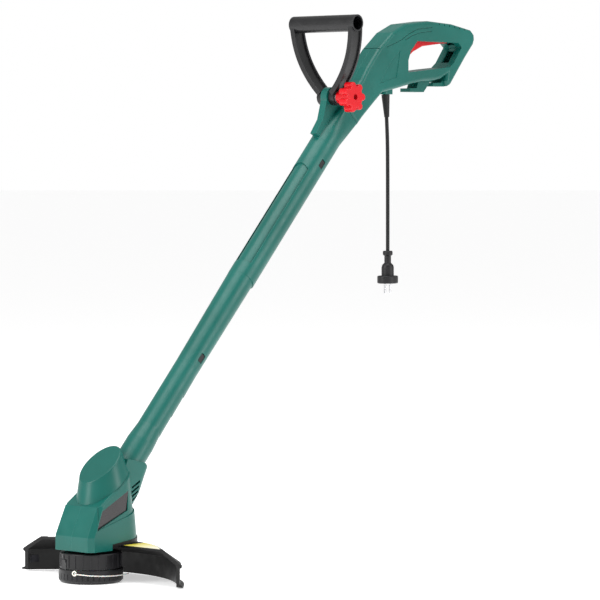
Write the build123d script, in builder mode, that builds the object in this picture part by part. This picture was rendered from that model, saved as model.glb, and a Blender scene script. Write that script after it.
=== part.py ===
from build123d import *
import os
from math import cos, hypot, pi, radians, sin, tan

os.makedirs("parts", exist_ok=True)

# Corded string trimmer: a motor head with a spool of nylon line, a guard, a three-part plastic
# shaft, a D-shaped front handle and a rear grip with its trigger.
#
# Frame: the origin is the centre of the spool cap's flat underside, on the axis that motor and
# spool turn about. +Z runs up that axis, +X towards the operator, -Y to the operator's left.
# Millimetres.

# ---------------------------------------------------------------- fits
turning_fit = 0.05        # radial clearance of a shaft or pin that turns in its hole
press_seat = 0.02         # radial clearance where a piece is pushed home and stays
slip_fit = 0.15           # radial clearance of plastic pieces pushed together once
moving_gap = 0.4          # between pieces that move past each other
wall = 2.5                # moulded housing wall

# ---------------------------------------------------------------- shaft
shaft_lean = 43.0         # lean of the shaft from vertical, degrees
shaft_foot_height = 81.0  # height at which the shaft axis crosses the spool axis
lower_seam = 288.0        # stations along the shaft axis, counted from that crossing
upper_seam = 723.5
tube_foot = 98.0          # lower tube's end, inside the head
flare_start = 172.0       # the lower tube swells below this station
flare_end = 146.0
lower_tube_radius = 18.3
flare_radius = 20.5
middle_tube_radius = 21.2
spigot_radius = 15.5
spigot_wall = 2.0
spigot_length = 42.0
lower_tube_bore = 15.5
ramp_length = 36.5        # three shallow ramps under the lower tube
ramp_rise = 0.9
ramp_top = 244.5
flat_depth = 2.3          # sunk panel on the front of the middle tube
flat_start = 478.0
flat_end = 673.0
underside_step = 457.0    # below this station the middle tube is slimmer underneath
underside_radius = 20.2
underside_shift = 1.0

# ---------------------------------------------------------------- shaft latches
lower_latch = 305.5       # stations of the two latches
upper_latch = 688.5
latch_length = 14.5       # window, along the shaft
latch_width = 9.0
latch_gap = 0.5
latch_flange_height = 12.0
latch_flange_thickness = 1.5
latch_depth_below_skin = 0.8
hoop_radius = 11.6
hoop_thickness = 0.6
hoop_width = 6.0
hoop_gap = 0.3

# ---------------------------------------------------------------- spool head
cap_radius = 45.3
cap_wall = 2.4
cap_floor = 2.6
cap_rim = 19.5
cap_edge = 3.6
cap_post_radius = 5.0
cap_post_top = 7.0
carrier_radius = 43.6
carrier_gap = 0.8
carrier_top = 42.0
carrier_wall = 2.2
carrier_roof = 3.0
carrier_boss_radius = 6.0
carrier_boss_foot = 12.4
carrier_rib_count = 24
carrier_rib_rise = 0.9
carrier_rib_width = 1.6
tab_angle = 165.0         # first of the two cap tabs, about +Z from +X
tab_width = 12.6
tab_top = 33.5
tab_hook_rise = 0.9
spool_flange_radius = 38.5
spool_hub_radius = 14.0
spool_height = 22.0
spool_flange = 1.8
spool_window_count = 4
tooth_count = 12
tooth_rise = 2.2
tooth_inner_radius = 20.0
tooth_outer_radius = 31.0
line_radius = 0.8
eyelet_angle = 195.0
eyelet_height = 15.6
eyelet_flange_radius = 3.8
eyelet_flange = 0.8
eyelet_radius = 2.9
eyelet_bore = 2.0
lever_pin_radius = 2.0
lever_pin_reach = 32.0

# ---------------------------------------------------------------- motor
shaft_radius = 2.5
shaft_end = 7.7
shaft_top = 107.0
bearing_radius = 6.5
bearing_width = 5.0
can_radius = 21.0
can_sheet = 1.4
can_foot = 56.0
can_top = 94.0
bell_top = 104.5
bell_top_radius = 14.5
magnet_thickness = 4.6
core_radius = 14.0
core_foot = 67.0
core_top = 87.0
slot_count = 12
commutator_radius = 7.0
fan_radius = 24.0
fan_foot = 49.5
fan_height = 4.5
fan_blades = 9
nut_across = 8.0
nut_height = 4.0

# ---------------------------------------------------------------- head housing
head_half_width = 39.0
head_front = -38.3
head_floor = 45.5
head_front_bend = 66.0    # the front is upright below this height and leans back above it
head_front_lean = 0.47    # lean of the front, mm back per mm up
head_shoulder = 107.0
head_corner = 7.0         # bevel of the front corners, in plan
collar_step = 4.0         # where the floor steps up to the guard's collar
collar_front_height = 54.0
collar_rear_height = 61.5
head_rear = 77.0
crease_rear_height = 102.0
crease_front_height = 75.0
crease_front = -25.0
crease_inset = 1.2        # upper body stands in from the lower bell
shoulder_bevel = 3.0
dome_centre = (23.0, 134.0)
dome_foot_tilt = 33.8
dome_foot_long = 47.0
dome_foot_wide = 34.5
dome_top_centre = (18.8, 164.4)
dome_top_tilt = 39.3
dome_top_long = 38.5
dome_top_wide = 28.5
dome_top_edge = 2.5
neck_half_width = 23.2
neck_end = 118.0
neck_trim = 100.0         # its end slopes down to this station at the front
neck_trim_front = -8.0
socket_foot = 96.0        # the neck is solid round the tube above this station
well_radius = 28.5        # round fan well that reaches down through the guard's collar
well_bore = 26.0
well_top = 60.0
shaft_hole_radius = 8.0
cradle_heights = (70.0, 88.0)
cradle_thickness = 3.0
cradle_width = 30.0
vent_slot_count = 5
vent_slot_height = 3.0
vent_slot_length = 19.0
vent_slot_slope = 28.0
vent_slot_first = (61.5, 105.0)
vent_slot_pitch = (1.4, 6.9)
vent_slot_depth_plane = 17.0   # slots stop at this distance from the centre plane
panel_outline = [(-13.6, 101.6), (40.0, 127.0), (36.8, 99.2), (-24.8, 74.7)]
panel_back = 30.8         # distances of the vent panel's faces from the centre plane
panel_flange = 32.4
panel_margin = 1.0
panel_face = 34.4
screw_radius = 1.5
screw_head_radius = 3.2
screw_head_height = 2.2
screw_head_depth = 14.0   # shell screws: underside of the head, from the centre plane
screw_tip_depth = 12.0
boss_radius = 5.2
head_screw_points = [(-31.0, 58.5), (61.0, 77.0), (30.0, 130.0)]

# ---------------------------------------------------------------- guard
guard_front = 19.0
guard_centre = -96.0      # axis that the guard is swept about
guard_arc = 190.0         # plan radius of the skirt
guard_top_arc = 165.0
guard_top = 52.0
guard_sheet = 3.0
guard_eave_height = 32.0
guard_eave = 3.0
guard_foot = 2.0
guard_rim_width = 6.0
guard_rim_rise = 2.0
guard_screw_points = [(38.0, -27.0), (38.0, 27.0), (64.0, 0.0)]
guard_screw_tip = 67.0
guard_boss_radius = 3.8
label_sheet = 0.3
label_arc = 163.5
label_front = 20.0
label_near = 45.0
cutter_angle = 49.2
cutter_height = 18.0
cutter_blade = 9.0

# ---------------------------------------------------------------- rear handle
handle_half_width = 19.0
handle_edge = 6.0
pivot_x = 512.0           # front handle's pivot
pivot_z = 685.5
eye_radius = 15.5
eye_half_width = 6.0
bolt_radius = 4.0
upper_spigot_foot = 665.0
collar_end = 741.0        # the handle is round up to this station
blend_end = 790.0         # and blends into its flat-sided form up to this one
trigger_pivot_x = 797.0
trigger_pivot_z = 784.0
trigger_half_width = 6.5
trigger_pin_radius = 2.0
gland_x = 642.0
gland_foot = 692.0
gland_top = 704.0
switch_foot = 790.2
switch_top = 801.6
plunger_x = 767.0
plunger_radius = 2.0
handle_screw_points = [(542.0, 675.0), (618.0, 748.0), (664.0, 715.0), (779.0, 722.5), (824.0, 776.0)]

# ---------------------------------------------------------------- front handle
d_lean = 5.2              # the D leans forward, degrees
d_reach = 111.0           # pivot to bar axis
bar_radius = 12.75
bar_bore = 10.4
bar_half_length = 63.5
leg_width = 24.0
leg_thickness = 8.0
leg_panel_depth = 2.4
leg_rim = 3.4
hub_radius = 12.0
hub_inner = 6.5
hub_outer = 16.5
knob_back = 19.0          # knob's back face, from the centre plane
knob_front = 51.0
knob_radius = 23.0
knob_lobes = 7
knob_lobe_radius = 5.4
knob_boss_radius = 9.5
knob_head_length = 15.0

# ---------------------------------------------------------------- cord and plug
cord_radius = 2.85
boot_top_radius = 6.4
boot_foot_radius = 3.9
boot_length = 35.0
boot_clearance = 0.3      # the cord bends a little inside the boot
cord_route = [(640.36, 0.0, 714.0), (646.8, 0.0, 643.0), (648.1, 0.0, 570.0), (648.1, 0.0, 440.0)]
plug_turn = 16.0
plug_collar_radius = 7.6
plug_neck_radius = 5.2
plug_shoulder_radius = 8.6
plug_body_radius = 9.6
plug_flange_long = 19.0
plug_flange_wide = 15.5
pin_spacing = 19.0
pin_radius = 2.0
pin_length = 16.0

# ---------------------------------------------------------------- directions and helpers
lean = radians(shaft_lean)
shaft_dir = Vector(sin(lean), 0, cos(lean))
shaft_front = Vector(-cos(lean), 0, sin(lean))
shaft_foot = Vector(0, 0, shaft_foot_height)


def shaft_point(station, front=0.0):
    """Point on the shaft's side view: a station along the axis, and a distance to the front."""
    return shaft_foot + shaft_dir * station + shaft_front * front


def shaft_plane(station):
    """Plane across the shaft: local z up the shaft, x to the front, y to the operator's left."""
    return Plane(origin=shaft_point(station), x_dir=shaft_front, z_dir=shaft_dir)


def shaft_side_plane():
    """Plane of symmetry seen from the left: local x to the shaft's front, y up the shaft."""
    return Plane(origin=shaft_foot, x_dir=shaft_front, z_dir=(0, 1, 0))


def side(point):
    """A point's x and z as a point of a sketch on the plane of symmetry."""
    return (point.X, point.Z)


def polar(radius, angle):
    """Point on a circle about the spool axis, the angle in degrees from +X."""
    return (radius * cos(radians(angle)), radius * sin(radians(angle)))


def ring(outer, inner, foot, top):
    """A plain tube about the spool axis."""
    with BuildPart() as tube:
        with BuildSketch(Plane.XY.offset(foot)):
            Circle(outer)
            Circle(inner, mode=Mode.SUBTRACT)
        extrude(amount=top - foot)
    return tube.part


# ================================================================ spool head
spool_foot = cap_floor + moving_gap
spool_top = spool_foot + spool_height
carrier_foot = cap_rim + carrier_gap
cap_bore = cap_radius - cap_wall
spool_bore = carrier_boss_radius + moving_gap

with BuildPart() as spool_cap:
    with BuildSketch():
        Circle(cap_radius)
    extrude(amount=cap_rim)
    chamfer(spool_cap.faces().sort_by(Axis.Z)[0].edges(), cap_edge)
    with BuildSketch(Plane.XY.offset(cap_floor)):
        Circle(cap_bore)
    extrude(amount=cap_rim, mode=Mode.SUBTRACT)
    fillet(spool_cap.faces().filter_by(Axis.Z).sort_by(Axis.Z)[-1].edges().sort_by(SortBy.LENGTH)[-1], 1.0)
    # post under the shaft's end
    with BuildSketch(Plane.XY.offset(cap_floor)):
        Circle(cap_post_radius)
    extrude(amount=cap_post_top - cap_floor)
    # the two tabs that hold the cap in the carrier's slots
    with PolarLocations(0, 2, start_angle=tab_angle):
        with Locations((carrier_radius - carrier_wall / 2, 0, (cap_floor + tab_top) / 2)):
            Box(carrier_wall, tab_width, tab_top - cap_floor)
        with Locations((carrier_radius + tab_hook_rise / 2 - 0.2, 0, tab_top - 2.0)):
            Box(tab_hook_rise + 0.4, tab_width - 2, 4.0)
    # seat of the line's eyelet, open at the rim
    with PolarLocations(0, 1, start_angle=eyelet_angle):
        with Locations((cap_radius - cap_wall / 2, 0, eyelet_height)):
            Cylinder(eyelet_radius + press_seat, 3 * cap_wall, rotation=(0, 90, 0), mode=Mode.SUBTRACT)
        with Locations((cap_radius - cap_wall / 2, 0, eyelet_height + cap_wall * 2)):
            Box(3 * cap_wall, 2 * (eyelet_radius + press_seat), cap_wall * 4, mode=Mode.SUBTRACT)
    # finger ribs round the lower band
    with PolarLocations(0, 36):
        with Locations((cap_radius - 0.1, 0, 9.5)):
            Cylinder(0.9, 8.0, mode=Mode.SUBTRACT)
spool_cap.part.label = "spool_cap"
export_step(spool_cap.part, "parts/spool_cap.step")

with BuildPart() as line_eyelet:
    with PolarLocations(0, 1, start_angle=eyelet_angle):
        with Locations((cap_radius - cap_wall / 2, 0, eyelet_height)):
            Cylinder(eyelet_radius, cap_wall + 0.2, rotation=(0, 90, 0))
        with Locations((cap_radius + 0.1 + eyelet_flange / 2, 0, eyelet_height)):
            Cylinder(eyelet_flange_radius, eyelet_flange, rotation=(0, 90, 0))
        with Locations((cap_radius, 0, eyelet_height)):
            Cylinder(eyelet_bore, 4 * cap_wall, rotation=(0, 90, 0), mode=Mode.SUBTRACT)
line_eyelet.part.label = "line_eyelet"
export_step(line_eyelet.part, "parts/line_eyelet.step")

with BuildPart() as line_spool:
    for z in (spool_foot, spool_top - spool_flange):
        with BuildSketch(Plane.XY.offset(z)):
            Circle(spool_flange_radius)
        extrude(amount=spool_flange)
    with BuildSketch(Plane.XY.offset(spool_foot)):
        Circle(spool_hub_radius)
    extrude(amount=spool_height)
    # ratchet ring on the upper flange
    with BuildSketch(Plane.XY.offset(spool_top)):
        Circle(tooth_outer_radius)
        Circle(tooth_inner_radius, mode=Mode.SUBTRACT)
    extrude(amount=tooth_rise)
    tooth_step = 360 / tooth_count
    with BuildSketch(Plane.XY.offset(spool_top + 0.6)):
        for i in range(tooth_count):
            a = i * tooth_step
            with BuildLine():
                Polyline(
                    polar(tooth_inner_radius - 1, a),
                    polar(tooth_outer_radius + 1, a),
                    polar(tooth_outer_radius + 1, a + tooth_step * 0.55),
                    polar(tooth_inner_radius - 1, a + tooth_step * 0.25),
                    close=True,
                )
            make_face()
    extrude(amount=tooth_rise, mode=Mode.SUBTRACT)
    Cylinder(spool_bore, 4 * spool_height, mode=Mode.SUBTRACT)
    # lightening windows between the hub's two walls
    with BuildSketch(Plane.XY.offset(spool_top + tooth_rise)):
        with PolarLocations((spool_bore + spool_hub_radius) / 2, spool_window_count):
            SlotOverall(7.0, 3.2, rotation=90)
    extrude(amount=-(spool_height + tooth_rise - 2.0), mode=Mode.SUBTRACT)
    # line holes in the upper flange's rim
    with PolarLocations(spool_flange_radius - 2.6, 2, start_angle=45):
        Cylinder(1.2, 4 * spool_height, mode=Mode.SUBTRACT)
line_spool.part.label = "line_spool"
export_step(line_spool.part, "parts/line_spool.step")

winding_radius = spool_flange_radius - 5.0
with BuildPart() as wound_line:
    add(ring(winding_radius, spool_hub_radius + press_seat, spool_foot + spool_flange + press_seat,
             spool_top - spool_flange - press_seat))
wound_line.part.label = "wound_line"
export_step(wound_line.part, "parts/wound_line.step")

with BuildPart() as spool_carrier:
    with BuildSketch(Plane.XY.offset(carrier_foot)):
        Circle(carrier_radius)
    extrude(amount=carrier_top - carrier_foot)
    fillet(spool_carrier.faces().sort_by(Axis.Z)[-1].edges(), 1.5)
    with BuildSketch(Plane.XY.offset(carrier_foot)):
        Circle(carrier_radius - carrier_wall)
    extrude(amount=carrier_top - carrier_roof - carrier_foot, mode=Mode.SUBTRACT)
    with BuildSketch(Plane.XY.offset(carrier_boss_foot)):
        Circle(carrier_boss_radius)
    extrude(amount=carrier_top - carrier_boss_foot - 1.0)
    # upright ribs
    with PolarLocations(0, carrier_rib_count):
        with Locations((carrier_radius + carrier_rib_rise / 2 - 0.2, 0, (carrier_foot + carrier_top) / 2)):
            Box(carrier_rib_rise + 0.4, carrier_rib_width, carrier_top - carrier_foot - 4)
    # slots for the cap's tabs, open below
    with PolarLocations(0, 2, start_angle=tab_angle):
        with Locations((carrier_radius, 0, carrier_foot)):
            Box(4 * carrier_wall, tab_width + 2 * moving_gap, 2 * (tab_top + moving_gap - carrier_foot),
                mode=Mode.SUBTRACT)
    # peg that the feed lever swings on
    with Locations((0, lever_pin_reach, carrier_top - carrier_roof)):
        Cylinder(lever_pin_radius, 22, align=(Align.CENTER, Align.CENTER, Align.MAX), mode=Mode.ADD)
    with Locations((0, lever_pin_reach, spool_top + tooth_rise + 0.5)):
        Cylinder(3 * lever_pin_radius, 30, align=(Align.CENTER, Align.CENTER, Align.MAX),
                 mode=Mode.SUBTRACT)
    Cylinder(shaft_radius + press_seat, 4 * carrier_top, mode=Mode.SUBTRACT)
spool_carrier.part.label = "spool_carrier"
export_step(spool_carrier.part, "parts/spool_carrier.step")

lever_foot = spool_top + tooth_rise + 0.9
lever_top = carrier_top - carrier_roof - moving_gap
lever_height = lever_top - lever_foot
with BuildPart() as feed_lever:
    with BuildSketch(Plane.XY.offset(lever_foot)):
        with Locations((0, lever_pin_reach)):
            Circle(4.4)
        with BuildLine():
            inner_bow = CenterArc((0, 0), lever_pin_reach - 3.0, 92, 55)
            outer_bow = CenterArc((0, 0), lever_pin_reach + 3.0, 92, 55)
            Line(inner_bow @ 0, outer_bow @ 0)
            Line(inner_bow @ 1, outer_bow @ 1)
        make_face()
        with BuildLine():
            Polyline(polar(lever_pin_reach - 2.5, 147), polar(lever_pin_reach - 9.0, 146),
                     polar(lever_pin_reach - 9.5, 141), polar(lever_pin_reach - 2.5, 132), close=True)
        make_face()
    extrude(amount=lever_height)
    with Locations((0, lever_pin_reach, 0)):
        Cylinder(lever_pin_radius + turning_fit, 4 * carrier_top, mode=Mode.SUBTRACT)
feed_lever.part.label = "feed_lever"
export_step(feed_lever.part, "parts/feed_lever.step")

with BuildPart() as carrier_nut:
    with BuildSketch(Plane.XY.offset(carrier_boss_foot - nut_height - press_seat)):
        RegularPolygon(nut_across / 2, 6, major_radius=False)
        Circle(shaft_radius + press_seat, mode=Mode.SUBTRACT)
    extrude(amount=nut_height)
carrier_nut.part.label = "carrier_nut"
export_step(carrier_nut.part, "parts/carrier_nut.step")

# the free end of the line, bent round the cap as it lies when the motor stops
line_points = [(*polar(cap_radius - 0.4, eyelet_angle - 0.5), eyelet_height)]
for turn, reach, height in ((1.2, 3.0, 15.5), (6, 4.4, 15.2), (14, 4.0, 14.5), (28, 3.2, 13.3), (50, 2.5, 12.1),
                            (74, 2.4, 11.3), (97, 3.4, 10.8), (117, 7.6, 10.5)):
    line_points.append((*polar(cap_radius + reach, eyelet_angle + turn), height))


def bend_radii(points):
    """Radius at each corner of a route: 0.45 of the shorter run over the tangent of half the turn."""
    route = [Vector(*p) for p in points]
    radii = []
    for before, corner, after in zip(route, route[1:], route[2:]):
        run_in = corner - before
        run_out = after - corner
        half_turn = radians(run_in.get_angle(run_out)) / 2
        radii.append(0.45 * min(run_in.length, run_out.length) / tan(half_turn))
    return radii


def tube_along(points, radius, name):
    """Round tube of straight runs joined by tangent arcs."""
    radii = bend_radii(points)
    with BuildPart() as tube:
        with BuildLine() as path:
            FilletPolyline(*points, radius=radii)
        route = path.wires()[0]
        with BuildSketch(Plane(origin=route @ 0, z_dir=route % 0)):
            Circle(radius)
        sweep(path=route)
    exact = pi * radius ** 2 * route.length
    print(f"{name}: length {route.length:.1f}, radii {[round(r, 1) for r in radii]},",
          f"volume {tube.part.volume:.1f} against {exact:.1f}")
    return tube.part


with BuildPart() as cutting_line:
    add(tube_along(line_points, line_radius, "cutting_line"))
cutting_line.part.label = "cutting_line"
export_step(cutting_line.part, "parts/cutting_line.step")

# ================================================================ motor
with BuildPart() as motor_shaft:
    with BuildSketch(Plane.XY.offset(shaft_end)):
        Circle(shaft_radius)
    extrude(amount=shaft_top - shaft_end)
    chamfer(motor_shaft.faces().filter_by(Axis.Z).edges(), 0.4)
motor_shaft.part.label = "motor_shaft"
export_step(motor_shaft.part, "parts/motor_shaft.step")

shaft_seat = shaft_radius + press_seat
with BuildPart() as cooling_fan:
    add(ring(5.5, shaft_seat, fan_foot, fan_foot + fan_height + 2))
    add(ring(fan_radius, shaft_seat, fan_foot, fan_foot + 1.0))
    with PolarLocations(0, fan_blades):
        with Locations(((5.0 + fan_radius) / 2, 0, fan_foot + fan_height / 2)):
            Box(fan_radius - 5.0, 1.2, fan_height)
    with BuildSketch(Plane.XY.offset(fan_foot)):
        Circle(fan_radius + 10)
        Circle(fan_radius, mode=Mode.SUBTRACT)
    extrude(amount=fan_height + 2, mode=Mode.SUBTRACT)
    Cylinder(shaft_seat, 4 * fan_foot, mode=Mode.SUBTRACT)
cooling_fan.part.label = "cooling_fan"
export_step(cooling_fan.part, "parts/cooling_fan.step")

with BuildPart() as armature_core:
    with BuildSketch(Plane.XY.offset(core_foot)):
        Circle(core_radius)
        Circle(shaft_seat, mode=Mode.SUBTRACT)
        with PolarLocations(core_radius - 2.6, slot_count):
            SlotOverall(5.6, 2.0, mode=Mode.SUBTRACT)
    extrude(amount=core_top - core_foot)
armature_core.part.label = "armature_core"
export_step(armature_core.part, "parts/armature_core.step")

with BuildPart() as armature_windings:
    for foot, top in ((core_foot - 4.2, core_foot - press_seat), (core_top + press_seat, core_top + 4.2)):
        with BuildSketch(Plane.XY.offset(foot)):
            Circle(core_radius - 1.4)
            Circle(shaft_seat + 1.2, mode=Mode.SUBTRACT)
        extrude(amount=top - foot)
    fillet(armature_windings.edges().filter_by(GeomType.CIRCLE).group_by(SortBy.RADIUS)[-1], 1.4)
armature_windings.part.label = "armature_windings"
export_step(armature_windings.part, "parts/armature_windings.step")

commutator_foot = core_top + 5.0
commutator_top = bell_top - bearing_width - 3.0
with BuildPart() as commutator:
    with BuildSketch(Plane.XY.offset(commutator_foot)):
        Circle(commutator_radius)
        Circle(shaft_seat, mode=Mode.SUBTRACT)
        with PolarLocations(commutator_radius, slot_count):
            Rectangle(2.0, 0.5, mode=Mode.SUBTRACT)
    extrude(amount=commutator_top - commutator_foot)
commutator.part.label = "commutator"
export_step(commutator.part, "parts/commutator.step")

bearing_seat = bearing_radius + press_seat
lower_bearing_foot = can_foot + 0.6
upper_bearing_foot = bell_top - bearing_width - 0.6
for name, foot in (("lower_bearing", lower_bearing_foot), ("upper_bearing", upper_bearing_foot)):
    with BuildPart() as bearing:
        with BuildSketch(Plane.XY.offset(foot)):
            Circle(bearing_radius)
            Circle(shaft_radius + turning_fit, mode=Mode.SUBTRACT)
        extrude(amount=bearing_width)
        with BuildSketch(Plane.XY.offset(foot)):
            Circle(bearing_radius - 1.2)
            Circle(shaft_radius + 1.4, mode=Mode.SUBTRACT)
        extrude(amount=0.5, mode=Mode.SUBTRACT)
    bearing.part.label = name
    export_step(bearing.part, f"parts/{name}.step")

with BuildPart() as motor_can:
    add(ring(can_radius, can_radius - can_sheet, can_foot, can_top))
    add(ring(can_radius, bearing_seat, can_foot + bearing_width - 3.0, can_foot + bearing_width - 3.0 + can_sheet))
    add(ring(bearing_radius + 2.0, bearing_seat, can_foot, can_foot + bearing_width + 0.6))
    with BuildSketch(Plane.XY.offset(can_foot)):
        with PolarLocations(14.5, 4, start_angle=45):
            SlotOverall(9.0, 4.0, rotation=90)
    extrude(amount=10, mode=Mode.SUBTRACT)
motor_can.part.label = "motor_can"
export_step(motor_can.part, "parts/motor_can.step")

with BuildPart() as motor_magnets:
    magnet_outer = can_radius - can_sheet - press_seat
    with BuildSketch(Plane.XY.offset(core_foot - 3)):
        Circle(magnet_outer)
        Circle(magnet_outer - magnet_thickness, mode=Mode.SUBTRACT)
        Rectangle(9.0, 4 * can_radius, mode=Mode.SUBTRACT)
    extrude(amount=core_top - core_foot + 5)
motor_magnets.part.label = "motor_magnets"
export_step(motor_magnets.part, "parts/motor_magnets.step")

with BuildPart() as motor_end_bell:
    with BuildSketch(Plane.XZ):
        with BuildLine():
            Polyline((0, can_top), (can_radius, can_top), (can_radius, can_top + 2.5),
                     (bell_top_radius, bell_top), (0, bell_top), close=True)
        make_face()
    revolve(axis=Axis.Z)
    with BuildSketch(Plane.XZ):
        with BuildLine():
            Polyline((0, can_top), (can_radius - 2.4, can_top), (can_radius - 2.4, can_top + 2.5),
                     (bell_top_radius - 2.0, bell_top - 2.4), (0, bell_top - 2.4), close=True)
        make_face()
    revolve(axis=Axis.Z, mode=Mode.SUBTRACT)
    with BuildSketch(Plane.XY.offset(upper_bearing_foot)):
        Circle(bearing_radius + 1.6)
    extrude(amount=bell_top - upper_bearing_foot)
    with BuildSketch(Plane.XY.offset(upper_bearing_foot)):
        Circle(bearing_seat)
    extrude(amount=bearing_width + press_seat, mode=Mode.SUBTRACT)
    Cylinder(shaft_radius + 1.0, 4 * bell_top, mode=Mode.SUBTRACT)
    # brush guides
    for hand in (-1, 1):
        with Locations((0, hand * (commutator_radius + 6.4), (commutator_foot + commutator_top) / 2 + 1.0)):
            Box(7.6, 10.0, commutator_top - commutator_foot + 3.0)
            Box(6.0 + 2 * press_seat, 12.0, 3.6 + 2 * press_seat, mode=Mode.SUBTRACT)
motor_end_bell.part.label = "motor_end_bell"
export_step(motor_end_bell.part, "parts/motor_end_bell.step")

with BuildPart() as carbon_brushes:
    for hand in (-1, 1):
        with Locations((0, hand * (commutator_radius + 0.1 + 5.0), (commutator_foot + commutator_top) / 2 + 1.0)):
            Box(6.0, 10.0, 3.6)
    Cylinder(commutator_radius + 0.1, 4 * commutator_top, mode=Mode.SUBTRACT)
carbon_brushes.part.label = "carbon_brushes"
export_step(carbon_brushes.part, "parts/carbon_brushes.step")

# ================================================================ head housing
dome_foot_slope = tan(radians(dome_foot_tilt))


def top_height(x):
    """Height at x of the sloping plane that the motor cap sits on."""
    return dome_centre[1] + (x - dome_centre[0]) * dome_foot_slope


def crease_height(x):
    """Height at x of the crease between the lower bell and the upper body."""
    share = (x - crease_front) / (head_rear - crease_front)
    return crease_front_height + share * (crease_rear_height - crease_front_height)


def collar_height(x):
    """Height at x of the sloping step that the guard's collar fills."""
    share = (x - collar_step) / (head_rear - collar_step)
    return collar_front_height + share * (collar_rear_height - collar_front_height)


def head_plan(height, front, rear, half_width):
    """Plan of the head at a height: bevelled front corners, straight sides and a round rear."""
    centre = rear - half_width
    with BuildSketch(Plane.XY.offset(height)) as plan:
        with BuildLine():
            Polyline(
                (centre, -half_width),
                (front + head_corner, -half_width),
                (front, head_corner - half_width),
                (front, half_width - head_corner),
                (front + head_corner, half_width),
                (centre, half_width),
            )
            ThreePointArc((centre, half_width), (rear, 0), (centre, -half_width))
        make_face()
    return plan.sketch.face()


def front_at(height):
    """The front face's x at a height."""
    return head_front + max(0.0, height - head_front_bend) * head_front_lean


def head_form(inset):
    """The head's outer form, or with an inset its cavity."""
    bell_width = head_half_width - inset
    body_width = bell_width - crease_inset
    front_inset = inset * hypot(1, head_front_lean)
    body_top = top_height(head_rear) + 2
    bell_top_height = crease_rear_height + 6
    plan_foot = head_plan(head_floor - 1, head_front + front_inset, head_rear - inset, bell_width)
    plan_bend = head_plan(head_front_bend, head_front + front_inset, head_rear - 2.4 - inset, bell_width - 0.4)
    plan_top = head_plan(bell_top_height, front_at(bell_top_height) + front_inset,
                         head_rear - 7 - inset, bell_width - 1)
    with BuildPart() as bell:
        loft([plan_foot, plan_bend], ruled=True)
        loft([plan_bend, plan_top], ruled=True)
        with BuildSketch(Plane.XZ.offset(-head_half_width - 5)):
            with BuildLine():
                Polyline(
                    (head_front - 5, head_floor + inset),
                    (head_front - 5, head_shoulder),
                    (front_at(head_shoulder) + 0.5, head_shoulder),
                    (crease_front, crease_height(crease_front)),
                    (head_rear + 5, crease_height(head_rear + 5)),
                    (head_rear + 5, collar_height(head_rear + 5) + inset),
                    (collar_step + inset, collar_height(collar_step + inset) + inset),
                    (collar_step + inset, head_floor + inset),
                    close=True,
                )
            make_face()
        extrude(amount=2 * head_half_width + 10, mode=Mode.INTERSECT)
    body_foot_plan = head_plan(head_front_bend, head_front + front_inset, head_rear - 5 - inset, body_width)
    body_top_plan = head_plan(body_top, front_at(body_top) + front_inset, head_rear - 16 - inset, body_width - 4)
    with BuildPart() as body:
        loft([body_foot_plan, body_top_plan], ruled=True)
        with BuildSketch(Plane.XZ.offset(-head_half_width - 5)):
            with BuildLine():
                Polyline(
                    (head_front - 5, head_front_bend),
                    (head_front - 5, top_height(head_front - 5) - inset * 1.2),
                    (head_rear, top_height(head_rear) - inset * 1.2),
                    (head_rear, head_front_bend),
                    close=True,
                )
            make_face()
        extrude(amount=2 * head_half_width + 10, mode=Mode.INTERSECT)
        if inset == 0:
            top_face = body.faces().sort_by(Axis.Z)[-1]
            long_edges = top_face.edges().filter_by(lambda e: abs(e.center().Y) > body_width / 2)
            chamfer(long_edges.sort_by(SortBy.LENGTH)[-2:], shoulder_bevel)
    neck_width = neck_half_width - inset
    rear_corner = shaft_point(neck_end, -neck_width)
    end_corner = shaft_point(neck_end, neck_trim_front)
    front_corner = shaft_point(neck_trim, neck_width)
    with BuildPart() as neck:
        with BuildSketch(Plane.XZ):
            with BuildLine():
                Polyline(
                    (20, 100 + inset),
                    (66 - inset, 100 + inset),
                    (80.5 - inset, 117),
                    side(rear_corner),
                    side(end_corner),
                    side(front_corner),
                    (40, top_height(40) - inset),
                    close=True,
                )
            make_face()
        extrude(amount=neck_width, both=True)
        upright = neck.edges().filter_by(lambda e: abs(e.center().Y) > neck_width - 1)
        fillet(upright.filter_by(lambda e: e.center().X > 60 and e.center().Z < rear_corner.Z + 4),
               neck_width * 0.62)
    with BuildPart() as form:
        add(bell.part)
        add(body.part)
        add(neck.part)
    return form.part


def ellipse_on(centre, tilt, long_radius, wide_radius):
    """A sketch plane tilted about Y, and its ellipse: long along the slope."""
    a = radians(tilt)
    plane = Plane(origin=(centre[0], 0, centre[1]), x_dir=(cos(a), 0, sin(a)), z_dir=(-sin(a), 0, cos(a)))
    with BuildSketch(plane) as sketch:
        Ellipse(long_radius, wide_radius)
    return sketch.sketch


def dome_form(inset):
    """Motor cap: a loft from the ellipse on the housing to the flatter one on top."""
    with BuildPart() as dome:
        foot = ellipse_on(dome_centre, dome_foot_tilt, dome_foot_long - inset, dome_foot_wide - inset)
        top_x, top_z = dome_top_centre
        a = radians(dome_top_tilt)
        top = ellipse_on((top_x + inset * sin(a), top_z - inset * cos(a)), dome_top_tilt,
                         dome_top_long - inset, dome_top_wide - inset)
        loft([foot.face(), top.face()])
    return dome.part


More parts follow.
